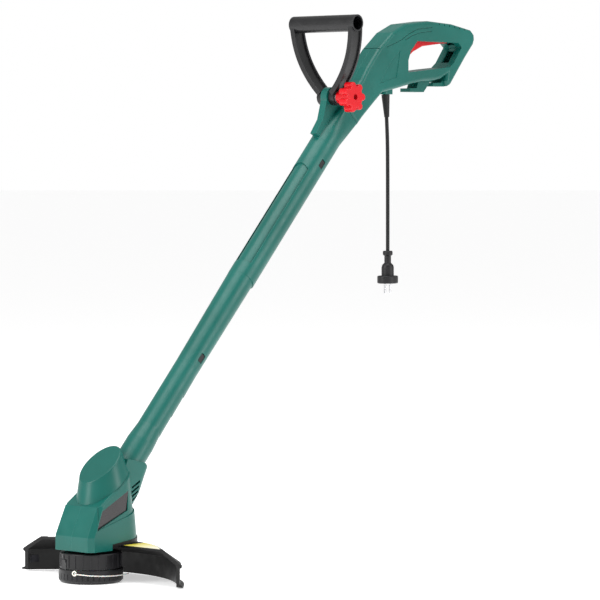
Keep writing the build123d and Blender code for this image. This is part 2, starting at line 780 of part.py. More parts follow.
with BuildPart() as motor_cap:
    add(dome_form(0))
    fillet(motor_cap.faces().sort_by(Axis.Z)[-1].edges(), dome_top_edge)
    add(dome_form(wall), mode=Mode.SUBTRACT)
    # room for the neck and the lower tube behind it
    neck_corner = shaft_point(neck_trim + slip_fit, neck_half_width + slip_fit)
    neck_top = shaft_point(neck_end + slip_fit, neck_trim_front + slip_fit)
    with BuildSketch(Plane.XZ.offset(-neck_half_width - slip_fit)):
        with BuildLine():
            Polyline((39.5, top_height(39.5)), side(neck_corner), side(neck_top),
                     (neck_top.X + 60, neck_top.Z), (neck_top.X + 60, top_height(39.5)), close=True)
        make_face()
    extrude(amount=2 * (neck_half_width + slip_fit), mode=Mode.SUBTRACT)
    with BuildSketch(shaft_plane(socket_foot)):
        Circle(flare_radius + moving_gap)
    extrude(amount=80, mode=Mode.SUBTRACT)
motor_cap.part.label = "motor_cap"
export_step(motor_cap.part, "parts/motor_cap.step")


def across(points, half_width):
    """A prism across the machine: an outline of x and z, reaching as far to both sides."""
    with BuildPart() as prism:
        with BuildSketch(Plane.XZ.offset(-half_width)):
            with BuildLine():
                Polyline(*points, close=True)
            make_face()
        extrude(amount=2 * half_width)
    return prism.part


def cross_pin(x, z, radius, near, far):
    """A round pin across the machine, from one y to another."""
    with BuildPart() as pin:
        with BuildSketch(Plane(origin=(x, near, z), x_dir=(1, 0, 0), z_dir=(0, 1, 0))):
            Circle(radius)
        extrude(amount=far - near)
    return pin.part


def upright_pin(x, y, radius, foot, top):
    """A round upright pin."""
    with BuildPart() as pin:
        with BuildSketch(Plane.XY.offset(foot)):
            with Locations((x, y)):
                Circle(radius)
        extrude(amount=top - foot)
    return pin.part


def screw_holes(points):
    """What the screws through a pair of shells take away, driven from the operator's right."""
    with BuildPart() as holes:
        for x, z in points:
            add(cross_pin(x, z, screw_radius + press_seat, -screw_tip_depth - 1, screw_head_depth + 1))
            add(cross_pin(x, z, screw_head_radius + slip_fit, screw_head_depth, head_half_width + 10))
    return holes.part


def shell_screws(points):
    """Pan-head screws for a pair of shells."""
    with BuildPart() as screws:
        for x, z in points:
            add(cross_pin(x, z, screw_radius, -screw_tip_depth, screw_head_depth))
            add(cross_pin(x, z, screw_head_radius, screw_head_depth, screw_head_depth + screw_head_height))
            add(cross_pin(x, z, 0.9, screw_head_depth + screw_head_height - 1.2, screw_head_depth + 9),
                mode=Mode.SUBTRACT)
    return screws.part


# the space inside, less what stands in it
with BuildPart() as head_cavity:
    add(head_form(wall))
    with BuildSketch(shaft_plane(socket_foot)):
        Rectangle(150, 150)
    extrude(amount=90, mode=Mode.SUBTRACT)
    add(upright_pin(0, 0, well_bore, head_floor + wall, well_top))
    for height in cradle_heights:
        with BuildPart(Plane.XY.offset(height), mode=Mode.PRIVATE) as cradle:
            Box(cradle_width, 2 * head_half_width, cradle_thickness,
                align=(Align.CENTER, Align.CENTER, Align.MIN))
            Cylinder(can_radius + press_seat, 4 * cradle_thickness, mode=Mode.SUBTRACT)
        add(cradle.part, mode=Mode.SUBTRACT)
    for x, z in head_screw_points:
        add(cross_pin(x, z, boss_radius, -head_half_width, head_half_width), mode=Mode.SUBTRACT)
    for x, y in guard_screw_points:
        add(upright_pin(x, y, guard_boss_radius, head_floor, guard_screw_tip + 1.5), mode=Mode.SUBTRACT)

with BuildPart() as vent_cutter:
    with BuildSketch(Plane.XZ.offset(-head_half_width - 5)):
        for i in range(vent_slot_count):
            with Locations((vent_slot_first[0] + vent_slot_pitch[0] * i, vent_slot_first[1] + vent_slot_pitch[1] * i)):
                SlotOverall(vent_slot_length, vent_slot_height, rotation=vent_slot_slope)
    extrude(amount=2 * head_half_width + 10)
    Box(400, 2 * vent_slot_depth_plane, 400, mode=Mode.SUBTRACT)

with BuildPart() as panel_cutter:
    add(across(panel_outline, head_half_width + 5))
    Box(400, 2 * panel_back - 4, 400, mode=Mode.SUBTRACT)

with BuildPart() as panel_pocket:
    with BuildSketch(Plane.XZ.offset(-panel_flange - slip_fit)):
        with BuildLine():
            Polyline(*panel_outline, close=True)
        make_face()
        offset(amount=panel_margin + slip_fit, kind=Kind.INTERSECTION, mode=Mode.REPLACE)
    extrude(amount=2 * (panel_flange + slip_fit))
    Box(400, 2 * (panel_back - slip_fit), 400, mode=Mode.SUBTRACT)

with BuildPart() as head_housing:
    add(head_form(0))
    add(upright_pin(0, 0, well_radius, head_floor, well_top))
    add(head_cavity.part, mode=Mode.SUBTRACT)
    add(upright_pin(0, 0, shaft_hole_radius, head_floor - 1, head_floor + wall + 1), mode=Mode.SUBTRACT)
    with BuildSketch(shaft_plane(socket_foot)):
        Circle(flare_radius + slip_fit)
    extrude(amount=60, mode=Mode.SUBTRACT)
    add(panel_cutter.part, mode=Mode.SUBTRACT)
    add(panel_pocket.part, mode=Mode.SUBTRACT)
    add(vent_cutter.part, mode=Mode.SUBTRACT)
    add(screw_holes(head_screw_points), mode=Mode.SUBTRACT)
    for x, y in guard_screw_points:
        add(upright_pin(x, y, screw_radius + press_seat, head_floor, guard_screw_tip + 0.5),
            mode=Mode.SUBTRACT)

for name, keep in (("head_shell_left", Keep.TOP), ("head_shell_right", Keep.BOTTOM)):
    with BuildPart() as head_shell:
        add(head_housing.part)
        split(bisect_by=Plane.XZ, keep=keep)
    head_shell.part.label = name
    export_step(head_shell.part, f"parts/{name}.step")

with BuildPart() as head_screws:
    add(shell_screws(head_screw_points))
head_screws.part.label = "head_screws"
export_step(head_screws.part, "parts/head_screws.step")

# smooth panels in the sides
for name, hand in (("vent_panel_left", -1), ("vent_panel_right", 1)):
    with BuildPart() as vent_panel:
        with BuildSketch(Plane.XZ.offset(-hand * panel_back)):
            with BuildLine():
                Polyline(*panel_outline, close=True)
            make_face()
            offset(amount=panel_margin, kind=Kind.INTERSECTION, mode=Mode.REPLACE)
        extrude(amount=-hand * (panel_flange - panel_back))
        with BuildSketch(Plane.XZ.offset(-hand * panel_back)):
            with BuildLine():
                Polyline(*panel_outline, close=True)
            make_face()
            offset(amount=-slip_fit, kind=Kind.INTERSECTION, mode=Mode.REPLACE)
        extrude(amount=-hand * (panel_face - panel_back))
    vent_panel.part.label = name
    export_step(vent_panel.part, f"parts/{name}.step")

# ================================================================ guard
guard_plane = Plane(origin=(guard_centre, 0, 0), x_dir=(1, 0, 0), z_dir=(0, -1, 0))
guard_axis = Axis((guard_centre, 0, 0), (0, 0, 1))
collar_foot = guard_top - guard_sheet


def collar_form(inset):
    """The guard's collar under the head's step, or with an inset the hollow in it."""
    plan = head_plan(collar_foot - inset, collar_step - head_corner + inset, head_rear - inset,
                     head_half_width - inset)
    with BuildPart() as collar:
        extrude(plan, amount=30)
        add(across([
            (collar_step + inset, collar_foot - inset - 1),
            (collar_step + inset, collar_height(collar_step + inset) - inset),
            (head_rear, collar_rear_height - inset),
            (head_rear, collar_foot - inset - 1),
        ], head_half_width), mode=Mode.INTERSECT)
    return collar.part


with BuildPart() as guard:
    with BuildSketch(guard_plane):
        with BuildLine():
            Polyline(
                (guard_top_arc - 55, guard_top),
                (guard_top_arc, guard_top),
                (guard_arc + guard_eave, guard_eave_height),
                (guard_arc + guard_eave, guard_eave_height - 2.5),
                (guard_arc, guard_eave_height - 2.5),
                (guard_arc, guard_foot + 5),
                (guard_arc + 7, guard_foot + 2.5),
                (guard_arc + 7, guard_foot),
                (guard_arc - guard_sheet, guard_foot),
                (guard_arc - guard_sheet, guard_eave_height - 0.5),
                (guard_top_arc - 1.2, guard_top - guard_sheet),
                (guard_top_arc - 55, guard_top - guard_sheet),
                close=True,
            )
        make_face()
    revolve(axis=guard_axis)
    # raised rim along the front edge
    with BuildPart(mode=Mode.PRIVATE) as rim:
        with BuildSketch(guard_plane):
            with BuildLine():
                Polyline(
                    (guard_top_arc - 1, guard_top),
                    (guard_top_arc + 1.2, guard_top + 0.5),
                    (guard_arc + guard_eave + guard_rim_rise, guard_eave_height + 0.6),
                    (guard_arc + guard_eave + guard_rim_rise, guard_eave_height - 2.5),
                    (guard_arc + guard_rim_rise, guard_eave_height - 4),
                    (guard_arc + guard_rim_rise, guard_foot + 3),
                    (guard_arc - 1, guard_foot + 3),
                    (guard_arc - 1, guard_eave_height - 1),
                    (guard_top_arc - 1, guard_top - 1),
                    close=True,
                )
            make_face()
        revolve(axis=guard_axis)
        with Locations((guard_front + guard_rim_width, 0, 0)):
            Box(400, 500, 200, align=(Align.MIN, Align.CENTER, Align.CENTER), mode=Mode.SUBTRACT)
    add(rim.part)
    with Locations((guard_front, 0, 0)):
        Box(400, 500, 200, align=(Align.MAX, Align.CENTER, Align.CENTER), mode=Mode.SUBTRACT)
    add(collar_form(0))
    add(collar_form(wall), mode=Mode.SUBTRACT)
    for x, y in guard_screw_points:
        add(upright_pin(x, y, guard_boss_radius + 0.6, guard_top, collar_height(x) - 1))
        add(upright_pin(x, y, screw_radius + slip_fit, guard_top - 5, guard_top + 20), mode=Mode.SUBTRACT)
    add(upright_pin(0, 0, well_radius + slip_fit, 0, 90), mode=Mode.SUBTRACT)
guard.part.label = "guard"
export_step(guard.part, "parts/guard.step")

with BuildPart() as guard_screws:
    for x, y in guard_screw_points:
        add(upright_pin(x, y, screw_radius, guard_top, guard_screw_tip))
        add(upright_pin(x, y, screw_head_radius, guard_top - screw_head_height, guard_top))
        add(upright_pin(x, y, 0.9, guard_top - 4, guard_top - screw_head_height + 1.2), mode=Mode.SUBTRACT)
guard_screws.part.label = "guard_screws"
export_step(guard_screws.part, "parts/guard_screws.step")

with BuildPart() as guard_label:
    with BuildSketch(Plane.XY.offset(guard_top)):
        with Locations((guard_centre, 0)):
            Circle(label_arc)
        with Locations((label_front, -label_near)):
            Rectangle(200, 200, align=(Align.MIN, Align.MAX), mode=Mode.INTERSECT)
    extrude(amount=label_sheet)
guard_label.part.label = "guard_label"
export_step(guard_label.part, "parts/guard_label.step")

skirt_bore = guard_arc - guard_sheet
cutter_reach = skirt_bore - 0.62
with BuildPart() as line_cutter:
    a = radians(cutter_angle)
    with Locations(Location((guard_centre + cutter_reach * cos(a), cutter_reach * sin(a), cutter_height),
                            (0, 0, cutter_angle))):
        Box(1.0, 13.0, 10.0)
        with Locations((-cutter_blade / 2, 6.0, 0)):
            Box(cutter_blade, 1.0, 10.0)
line_cutter.part.label = "line_cutter"
export_step(line_cutter.part, "parts/line_cutter.step")

# ================================================================ shaft tubes
shaft_axis = Axis(tuple(shaft_foot), tuple(shaft_dir))


def turned(points):
    """A piece turned about the shaft axis, from its radii and stations."""
    with BuildPart() as piece:
        with BuildSketch(shaft_side_plane()):
            with BuildLine():
                Polyline(*points, close=True)
            make_face()
        revolve(axis=shaft_axis)
    return piece.part


def latch_plane(station):
    """Plane through the shaft axis at a latch: local x up the shaft, normal to the left."""
    return Plane(origin=shaft_point(station), x_dir=shaft_dir, z_dir=(0, -1, 0))


def latch_window(station):
    """The hole a latch button comes out of."""
    with BuildPart() as window:
        with BuildSketch(latch_plane(station)):
            RectangleRounded(latch_length, latch_width, 2.0)
        extrude(amount=40)
    return window.part


with BuildPart() as lower_tube:
    add(turned([
        (0, tube_foot),
        (flare_radius, tube_foot),
        (flare_radius, flare_end),
        (lower_tube_radius, flare_start),
        (lower_tube_radius, lower_seam),
        (spigot_radius, lower_seam),
        (spigot_radius, lower_seam + spigot_length - 1),
        (spigot_radius - 1, lower_seam + spigot_length),
        (0, lower_seam + spigot_length),
    ]))
    for i in range(3):
        step = ramp_top - i * ramp_length
        with BuildSketch(shaft_plane(step)):
            with Locations((-ramp_rise, 0)):
                Circle(lower_tube_radius)
        with BuildSketch(shaft_plane(step + ramp_length)):
            Circle(lower_tube_radius)
        loft()
    add(turned([
        (0, tube_foot - 1),
        (flare_radius - wall, tube_foot - 1),
        (flare_radius - wall, flare_end),
        (lower_tube_bore, flare_start),
        (lower_tube_bore, lower_seam - 8),
        (spigot_radius - spigot_wall, lower_seam - 4),
        (spigot_radius - spigot_wall, lower_seam + spigot_length + 1),
        (0, lower_seam + spigot_length + 1),
    ]), mode=Mode.SUBTRACT)
    add(latch_window(lower_latch), mode=Mode.SUBTRACT)
lower_tube.part.label = "lower_tube"
export_step(lower_tube.part, "parts/lower_tube.step")

flat_half_width = 16.2
with BuildPart() as middle_tube:
    with BuildSketch(shaft_plane(lower_seam)):
        Circle(lower_tube_radius)
    with BuildSketch(shaft_plane(underside_step)):
        with Locations((underside_shift, 0)):
            Circle(underside_radius)
    loft()
    with BuildSketch(shaft_plane(underside_step)):
        Circle(middle_tube_radius)
    extrude(amount=upper_seam - underside_step)
    with BuildPart(mode=Mode.PRIVATE) as sunk_panel:
        with BuildSketch(Plane(origin=shaft_foot, x_dir=(0, -1, 0), z_dir=shaft_front)):
            with BuildLine():
                Polyline((-flat_half_width, flat_end - 7), (-flat_half_width, flat_start),
                         (flat_half_width, flat_start), (flat_half_width, flat_end - 7))
                ThreePointArc((-flat_half_width, flat_end - 7), (0, flat_end), (flat_half_width, flat_end - 7))
            make_face()
        extrude(amount=40)
        add(turned([
            (0, flat_start - 5),
            (middle_tube_radius - flat_depth, flat_start - 5),
            (middle_tube_radius - flat_depth, flat_end + 5),
            (0, flat_end + 5),
        ]), mode=Mode.SUBTRACT)
    add(sunk_panel.part, mode=Mode.SUBTRACT)
    with BuildSketch(shaft_plane(lower_seam)):
        Circle(spigot_radius + slip_fit)
    extrude(amount=upper_seam - lower_seam, mode=Mode.SUBTRACT)
    add(latch_window(lower_latch), mode=Mode.SUBTRACT)
    add(latch_window(upper_latch), mode=Mode.SUBTRACT)
middle_tube.part.label = "middle_tube"
export_step(middle_tube.part, "parts/middle_tube.step")

lower_skin = lower_tube_radius + (underside_radius - lower_tube_radius) * (
    (lower_latch - lower_seam) / (underside_step - lower_seam))
for name, station, skin in (("lower", lower_latch, lower_skin), ("upper", upper_latch, middle_tube_radius)):
    with BuildPart() as latch_button:
        with BuildSketch(latch_plane(station).offset(latch_flange_height - latch_flange_thickness)):
            RectangleRounded(latch_length + 2.5, latch_width + 2, 2.0)
        extrude(amount=latch_flange_thickness)
        with BuildSketch(latch_plane(station).offset(latch_flange_height)):
            RectangleRounded(latch_length - 2 * latch_gap, latch_width - 2 * latch_gap, 1.6)
        extrude(amount=skin - latch_depth_below_skin - latch_flange_height)
        chamfer(latch_button.faces().sort_by(Axis.Y)[0].edges(), 0.5)
    latch_button.part.label = f"latch_button_{name}"
    export_step(latch_button.part, f"parts/latch_button_{name}.step")
    with BuildPart() as latch_spring:
        hoop_centre = latch_flange_height - latch_flange_thickness - hoop_gap - hoop_radius
        with BuildSketch(shaft_plane(station - hoop_width / 2)):
            with Locations((0, hoop_centre)):
                Circle(hoop_radius)
                Circle(hoop_radius - hoop_thickness, mode=Mode.SUBTRACT)
        extrude(amount=hoop_width)
    latch_spring.part.label = f"latch_spring_{name}"
    export_step(latch_spring.part, f"parts/latch_spring_{name}.step")

# ================================================================ rear handle
blend_front = 19.1
blend_rear = -22.1
handle_outline = [
    side(shaft_point(blend_end, blend_front)), (566, 713), (580, 732), (606, 761), (639, 787), (672, 801),
    (727, 807), (785, 804), (832, 796), (840, 789), (841, 781), (838, 773), (818, 752), (781, 709),
    (775, 706.5), (769, 714), (771, 724), (758, 718), (742, 715), (713, 713), (687, 709), (655, 702),
    (615, 694), (590, 674), (568, 656), side(shaft_point(blend_end, blend_rear)),
]
finger_opening = [
    (675, 726), (675, 745), (681, 759), (697, 775), (798, 775), (807, 768), (788, 744), (777, 736),
    (737.5, 732.5), (709, 729.4),
]
grip_facet = [(655.6, 759.6), (651.1, 738.9), (646.5, 717.7), (606.9, 707.8), (620.5, 726.6), (635.8, 744.5)]
front_hook = [(711, 714), (706, 702.5), (690, 702), (690, 696.5), (723, 696.5), (742, 716)]
rear_hook = [(777, 707.5), (774, 706), (746, 706), (746, 711), (766, 712), (769, 716)]
lug_web = [
    (473, 631), (489, 652), (497.5, 681), (512, 685.5), (527, 682), (540, 676), (500, 632), (480, 627),
]
hook_half_width = 10.0
facet_depth = 0.8
groove_depth = 1.0


def handle_slice(half_width, inset):
    """Flat-sided part of the handle, out to a distance from the centre plane."""
    with BuildPart() as slab:
        with BuildSketch(Plane.XZ.offset(-half_width)):
            with BuildLine():
                Polyline(*handle_outline, close=True)
            make_face()
            if inset:
                offset(amount=-inset, kind=Kind.INTERSECTION, mode=Mode.REPLACE)
        extrude(amount=2 * half_width)
    return slab.part


def opening_prism(margin):
    """The finger opening, grown by a margin."""
    with BuildPart() as prism:
        with BuildSketch(Plane.XZ.offset(-handle_half_width - 5)):
            with BuildLine():
                Polyline(*finger_opening, close=True)
            make_face()
            if margin:
                offset(amount=margin, kind=Kind.ARC, mode=Mode.REPLACE)
        extrude(amount=2 * handle_half_width + 10)
    return prism.part



with BuildPart() as handle_cavity:
    add(handle_slice(handle_half_width - wall - 3, wall))
    add(handle_slice(handle_half_width - wall, wall + 3))
    add(opening_prism(3), mode=Mode.SUBTRACT)
    for x, z in handle_screw_points:
        add(cross_pin(x, z, boss_radius - 0.6, -handle_half_width, handle_half_width), mode=Mode.SUBTRACT)
    with Locations((gland_x, 0, gland_foot)):
        Box(26, 24, 2 * (gland_top - gland_foot), mode=Mode.SUBTRACT)

boot_dir = (Vector(*cord_route[1]) - Vector(*cord_route[0])).normalized()
boot_start = Vector(*cord_route[0]) + boot_dir * ((cord_route[0][2] - gland_foot) / -boot_dir.Z)
boot_plane = Plane(origin=boot_start, x_dir=(0, 1, 0), z_dir=boot_dir)


def along_cord(radius, start, end):
    """A round pin along the cord where it leaves the handle, distances counted down from the gland."""
    with BuildPart() as pin:
        with BuildSketch(boot_plane.offset(start)):
            Circle(radius)
        extrude(amount=end - start)
    return pin.part


boot_neck_radius = 4.8
boot_neck = gland_top - gland_foot + 1.0
trigger_outline = [
    (794, 775.5), (760, 772), (725, 768), (702, 759), (684, 746.5), (678, 750), (677.5, 765), (686, 783),
    (740, 785.5), (792, 787.5),
]
slot_half_width = trigger_half_width + moving_gap + 0.3
spring_x = 700.0
spring_foot = 784.3
spring_top = 799.6
spring_radius = 3.6
spring_wire = 0.45

with BuildPart() as handle_body:
    add(handle_slice(handle_half_width, 0))
    fillet(handle_body.faces().filter_by(Axis.Y).edges(), handle_edge)
    # from the round collar to the flat-sided grip
    with BuildSketch(shaft_plane(collar_end)):
        Circle(middle_tube_radius)
    with BuildSketch(shaft_plane(blend_end + 0.5)):
        with Locations(((blend_front + blend_rear) / 2, 0)):
            RectangleRounded(blend_front - blend_rear - 0.6, 2 * handle_half_width - 0.2, handle_edge)
    loft()
    with BuildSketch(shaft_plane(upper_seam)):
        Circle(middle_tube_radius)
    extrude(amount=collar_end - upper_seam)
    # eye that the front handle is clamped to
    add(across(lug_web, eye_half_width))
    add(cross_pin(pivot_x, pivot_z, eye_radius, -eye_half_width, eye_half_width))
    add(across(front_hook, hook_half_width))
    add(across(rear_hook, hook_half_width))
    # gland boss
    with BuildSketch(Plane.XY.offset(gland_foot)):
        with Locations((gland_x, 0)):
            RectangleRounded(22, 17, 6)
    extrude(amount=gland_top - gland_foot)
    add(opening_prism(0), mode=Mode.SUBTRACT)
    # sunk facet beside the opening and the lines that sweep back from it
    for hand in (-1, 1):
        with BuildSketch(Plane.XZ.offset(-hand * handle_half_width)):
            with BuildLine():
                Polyline(*grip_facet, close=True)
            make_face()
        extrude(amount=hand * facet_depth, mode=Mode.SUBTRACT)
        with BuildSketch(Plane.XZ.offset(-hand * handle_half_width)):
            for sweep_line in (
                [(731.7, 797), (697.3, 793.5), (675.6, 785.5), (660.2, 777), (641.8, 770), (623.5, 764)],
                [(731.7, 791), (703.5, 788.2), (684.9, 783.5), (668, 776)],
            ):
                with BuildLine():
                    trace = Polyline(*sweep_line)
                    offset(trace, amount=groove_depth * 0.7)
                make_face()
        extrude(amount=hand * groove_depth, mode=Mode.SUBTRACT)
    # two grooves over the top of the neck
    for x, z in ((618.5, 774.0), (607.5, 761.5)):
        with Locations(Location((x, 0, z), (0, -40, 0))):
            Box(1.6, 60, 3.2, mode=Mode.SUBTRACT)
    # finger ribs on the rear of the grip
    for i in range(6):
        for hand in (-1, 1):
            with Locations(Location((752 + 12.5 * i, hand * (handle_half_width - 2.2), 802 - 1.3 * i),
                                    (hand * 45, 24, 0))):
                Box(2.2, 13, 3.4, mode=Mode.SUBTRACT)

with BuildPart() as handle_housing:
    add(handle_body.part)
    add(handle_cavity.part, mode=Mode.SUBTRACT)
    # spigot into the middle tube
    with BuildSketch(shaft_plane(upper_spigot_foot)):
        Circle(spigot_radius)
    extrude(amount=upper_seam - upper_spigot_foot + 1)
    with BuildSketch(shaft_plane(upper_spigot_foot - 1)):
        Circle(spigot_radius - spigot_wall)
    extrude(amount=blend_end + 6 - upper_spigot_foot, mode=Mode.SUBTRACT)
    with BuildSketch(shaft_plane(blend_end - 3)):
        with Locations(((blend_front + blend_rear) / 2, 0)):
            RectangleRounded(blend_front - blend_rear - 8, 2 * (handle_half_width - wall - 1), 5)
    extrude(amount=10, mode=Mode.SUBTRACT)
    add(latch_window(upper_latch), mode=Mode.SUBTRACT)
    # the eye's bore
    add(cross_pin(pivot_x, pivot_z, bolt_radius + turning_fit, -20, 20), mode=Mode.SUBTRACT)
    # slot for the trigger, bore for its pin
    with Locations((674.6, 0, 744)):
        Box(806 - 674.6, 2 * slot_half_width, 54, align=(Align.MIN, Align.CENTER, Align.MIN),
            mode=Mode.SUBTRACT)
    for hand in (-1, 1):
        add(cross_pin(trigger_pivot_x, trigger_pivot_z, 5.0, hand * slot_half_width,
                      hand * (handle_half_width - 2)))
    add(cross_pin(trigger_pivot_x, trigger_pivot_z, trigger_pin_radius + press_seat, -14, 14),
        mode=Mode.SUBTRACT)
    # gland bore
    add(along_cord(boot_neck_radius + press_seat, -25, 5), mode=Mode.SUBTRACT)
    add(screw_holes(handle_screw_points), mode=Mode.SUBTRACT)

for name, keep in (("handle_shell_left", Keep.TOP), ("handle_shell_right", Keep.BOTTOM)):
    with BuildPart() as handle_shell:
        add(handle_housing.part)
        split(bisect_by=Plane.XZ, keep=keep)
    handle_shell.part.label = name
    export_step(handle_shell.part, f"parts/{name}.step")

with BuildPart() as handle_screws:
    add(shell_screws(handle_screw_points))
handle_screws.part.label = "handle_screws"
export_step(handle_screws.part, "parts/handle_screws.step")

# ================================================================ trigger and switch
with BuildPart() as trigger:
    add(across(trigger_outline, trigger_half_width))
    fillet(trigger.faces().filter_by(Axis.Y).edges(), 1.6)
    add(cross_pin(trigger_pivot_x, trigger_pivot_z, 5.0, -trigger_half_width, trigger_half_width))
    add(cross_pin(trigger_pivot_x, trigger_pivot_z, trigger_pin_radius + turning_fit, -20, 20),
        mode=Mode.SUBTRACT)
    with Locations((spring_x, 0, spring_foot - 0.2)):
        Cylinder(1.8, 6, align=(Align.CENTER, Align.CENTER, Align.CENTER))
trigger.part.label = "trigger"
export_step(trigger.part, "parts/trigger.step")

with BuildPart() as trigger_pin:
    add(cross_pin(trigger_pivot_x, trigger_pivot_z, trigger_pin_radius, -13.8, 13.8))
trigger_pin.part.label = "trigger_pin"
export_step(trigger_pin.part, "parts/trigger_pin.step")

with BuildPart() as trigger_spring:
    with BuildLine() as coil:
        Helix(pitch=2.5, height=spring_top - spring_foot, radius=spring_radius, center=(spring_x, 0, spring_foot))
    turn = coil.wires()[0]
    with BuildSketch(Plane(origin=turn @ 0, z_dir=turn % 0)):
        Circle(spring_wire)
    sweep(path=turn, is_frenet=True)
trigger_spring.part.label = "trigger_spring"
export_step(trigger_spring.part, "parts/trigger_spring.step")

plunger_foot = 787.1
with BuildPart() as power_switch:
    with Locations((plunger_x, 0, (switch_foot + switch_top) / 2)):
        Box(30, 2 * slot_half_width + 4, switch_top - switch_foot)
    add(upright_pin(plunger_x, 0, plunger_radius + turning_fit, switch_foot - 1, switch_foot + 6.5),
        mode=Mode.SUBTRACT)
    with Locations((plunger_x - 15, 0, switch_foot + 6)):
        Box(2.0, 8, 4)
power_switch.part.label = "power_switch"
export_step(power_switch.part, "parts/power_switch.step")

with BuildPart() as switch_plunger:
    add(upright_pin(plunger_x, 0, plunger_radius, plunger_foot, switch_foot + 3.5))
switch_plunger.part.label = "switch_plunger"
export_step(switch_plunger.part, "parts/switch_plunger.step")

with BuildPart() as capacitor:
    with Locations((650.5, 0, 729)):
        Box(16, 11, 20)
    fillet(capacitor.edges().filter_by(Axis.Z), 1.5)
capacitor.part.label = "capacitor"
export_step(capacitor.part, "parts/capacitor.step")

# ================================================================ cord, boot and plug
with BuildPart() as cord_boot:
    with BuildSketch(boot_plane.offset(0.7)):
        Circle(boot_top_radius)
    with BuildSketch(boot_plane.offset(boot_length)):
        Circle(boot_foot_radius)
    loft()
    add(along_cord(boot_neck_radius, -boot_neck, 1.5))
    add(along_cord(boot_neck_radius + 1.6, -boot_neck - 2, -boot_neck))
    add(along_cord(cord_radius + boot_clearance, -40, boot_length + 5), mode=Mode.SUBTRACT)
cord_boot.part.label = "cord_boot"
export_step(cord_boot.part, "parts/cord_boot.step")

with BuildPart() as cord_clamp:
    with Locations((640.7, 0, 710.4)):
        Box(20, 13, 4.4)
    add(along_cord(cord_radius + press_seat, -40, 5), mode=Mode.SUBTRACT)
cord_clamp.part.label = "cord_clamp"
export_step(cord_clamp.part, "parts/cord_clamp.step")

with BuildPart() as power_cord:
    add(tube_along(cord_route, cord_radius, "power_cord"))
power_cord.part.label = "power_cord"
export_step(power_cord.part, "parts/power_cord.step")

plug_x = cord_route[-1][0]
plug_plane = Plane(origin=(plug_x, 0, 0), x_dir=(1, 0, 0), z_dir=(0, -1, 0))
with BuildPart() as plug_body:
    with BuildSketch(plug_plane):
        with BuildLine():
            Polyline(
                (0, 450.5), (plug_collar_radius - 1, 450.5), (plug_collar_radius, 449), (plug_collar_radius, 444.5),
                (plug_neck_radius, 442.5), (plug_neck_radius, 432), (plug_shoulder_radius, 428.5),
                (plug_body_radius, 425), (plug_body_radius, 410), (0, 410), close=True,
            )
        make_face()
    revolve(axis=Axis((plug_x, 0, 0), (0, 0, 1)))
    with BuildSketch(Plane.XY.offset(400)):
        with Locations(Location((plug_x, 0, 0), (0, 0, plug_turn))):
            Ellipse(plug_flange_long, plug_flange_wide)
    extrude(amount=12)
    fillet(plug_body.faces().filter_by(Axis.Z).edges().group_by(SortBy.LENGTH)[-1], 2.0)
    add(upright_pin(plug_x, 0, cord_radius + press_seat, 439.9, 460), mode=Mode.SUBTRACT)
    with Locations(Location((plug_x, 0, 400), (0, 0, plug_turn))):
        with GridLocations(pin_spacing, 1, 2, 1):
            Cylinder(pin_radius + press_seat, 16, mode=Mode.SUBTRACT)
plug_body.part.label = "plug_body"
export_step(plug_body.part, "parts/plug_body.step")

with BuildPart() as plug_pins:
    with Locations(Location((plug_x, 0, 400 - pin_length), (0, 0, plug_turn))):
        with GridLocations(pin_spacing, 1, 2, 1):
            Cylinder(pin_radius, pin_length + 7.8, align=(Align.CENTER, Align.CENTER, Align.MIN))
    fillet(plug_pins.edges().group_by(Axis.Z)[0], 1.2)
plug_pins.part.label = "plug_pins"
export_step(plug_pins.part, "parts/plug_pins.step")

# cable from the motor up the shaft to the switch
cable_radius = 2.5
cable_front = -7.9
cable_foot = shaft_point(66, cable_front)
cable_bend = shaft_point(826, cable_front)
cable_route = [
    (22.0, 0.0, 102.0), (34.0, 0.0, 107.0), tuple(cable_foot), tuple(cable_bend), (640.0, 2.0, 757.0),
    (676.0, 11.0, 784.0), (712.0, 11.4, 793.5), (751.0, 10.6, 794.5),
]
with BuildPart() as inner_cable:
    add(tube_along(cable_route, cable_radius, "inner_cable"))
inner_cable.part.label = "inner_cable"
export_step(inner_cable.part, "parts/inner_cable.step")

# ================================================================ front handle
d_angle = radians(d_lean)
d_up = Vector(-sin(d_angle), 0, cos(d_angle))
d_plane = Plane(origin=(pivot_x, 0, pivot_z), x_dir=(0, 1, 0), z_dir=(cos(d_angle), 0, sin(d_angle)))
bar_centre = Vector(pivot_x, 0, pivot_z) + d_up * d_reach
leg_line = [(11.4, 6.5), (33.1, 32.3), (48.3, 60.5), (56.1, 88.9), (58.0, 107.0)]
leg_web = leg_thickness - 2 * leg_panel_depth

with BuildPart() as front_handle:
    for hand in (-1, 1):
        with BuildLine(d_plane) as leg_path:
            Spline(*[(hand * y, v) for y, v in leg_line])
        leg = leg_path.wires()[0]
        with BuildSketch(Plane(origin=leg @ 0, x_dir=d_plane.z_dir, z_dir=leg % 0)):
            Rectangle(leg_width, leg_web)
            for edge in (-1, 1):
                with Locations((edge * (leg_width - leg_rim) / 2, 0)):
                    Rectangle(leg_rim, leg_thickness)
        sweep(path=leg)
        add(cross_pin(pivot_x, pivot_z, hub_radius, hand * hub_inner, hand * hub_outer))
        with BuildPart(mode=Mode.PRIVATE) as hub_room:
            add(cross_pin(pivot_x, pivot_z, hub_radius + 6, -hub_inner, hub_inner))
        add(hub_room.part, mode=Mode.SUBTRACT)
    add(cross_pin(bar_centre.X, bar_centre.Z, bar_radius, -bar_half_length, bar_half_length))
    add(cross_pin(bar_centre.X, bar_centre.Z, bar_bore, -bar_half_length - 5, bar_half_length + 5),
        mode=Mode.SUBTRACT)
    add(cross_pin(pivot_x, pivot_z, bolt_radius + press_seat, -30, 30), mode=Mode.SUBTRACT)
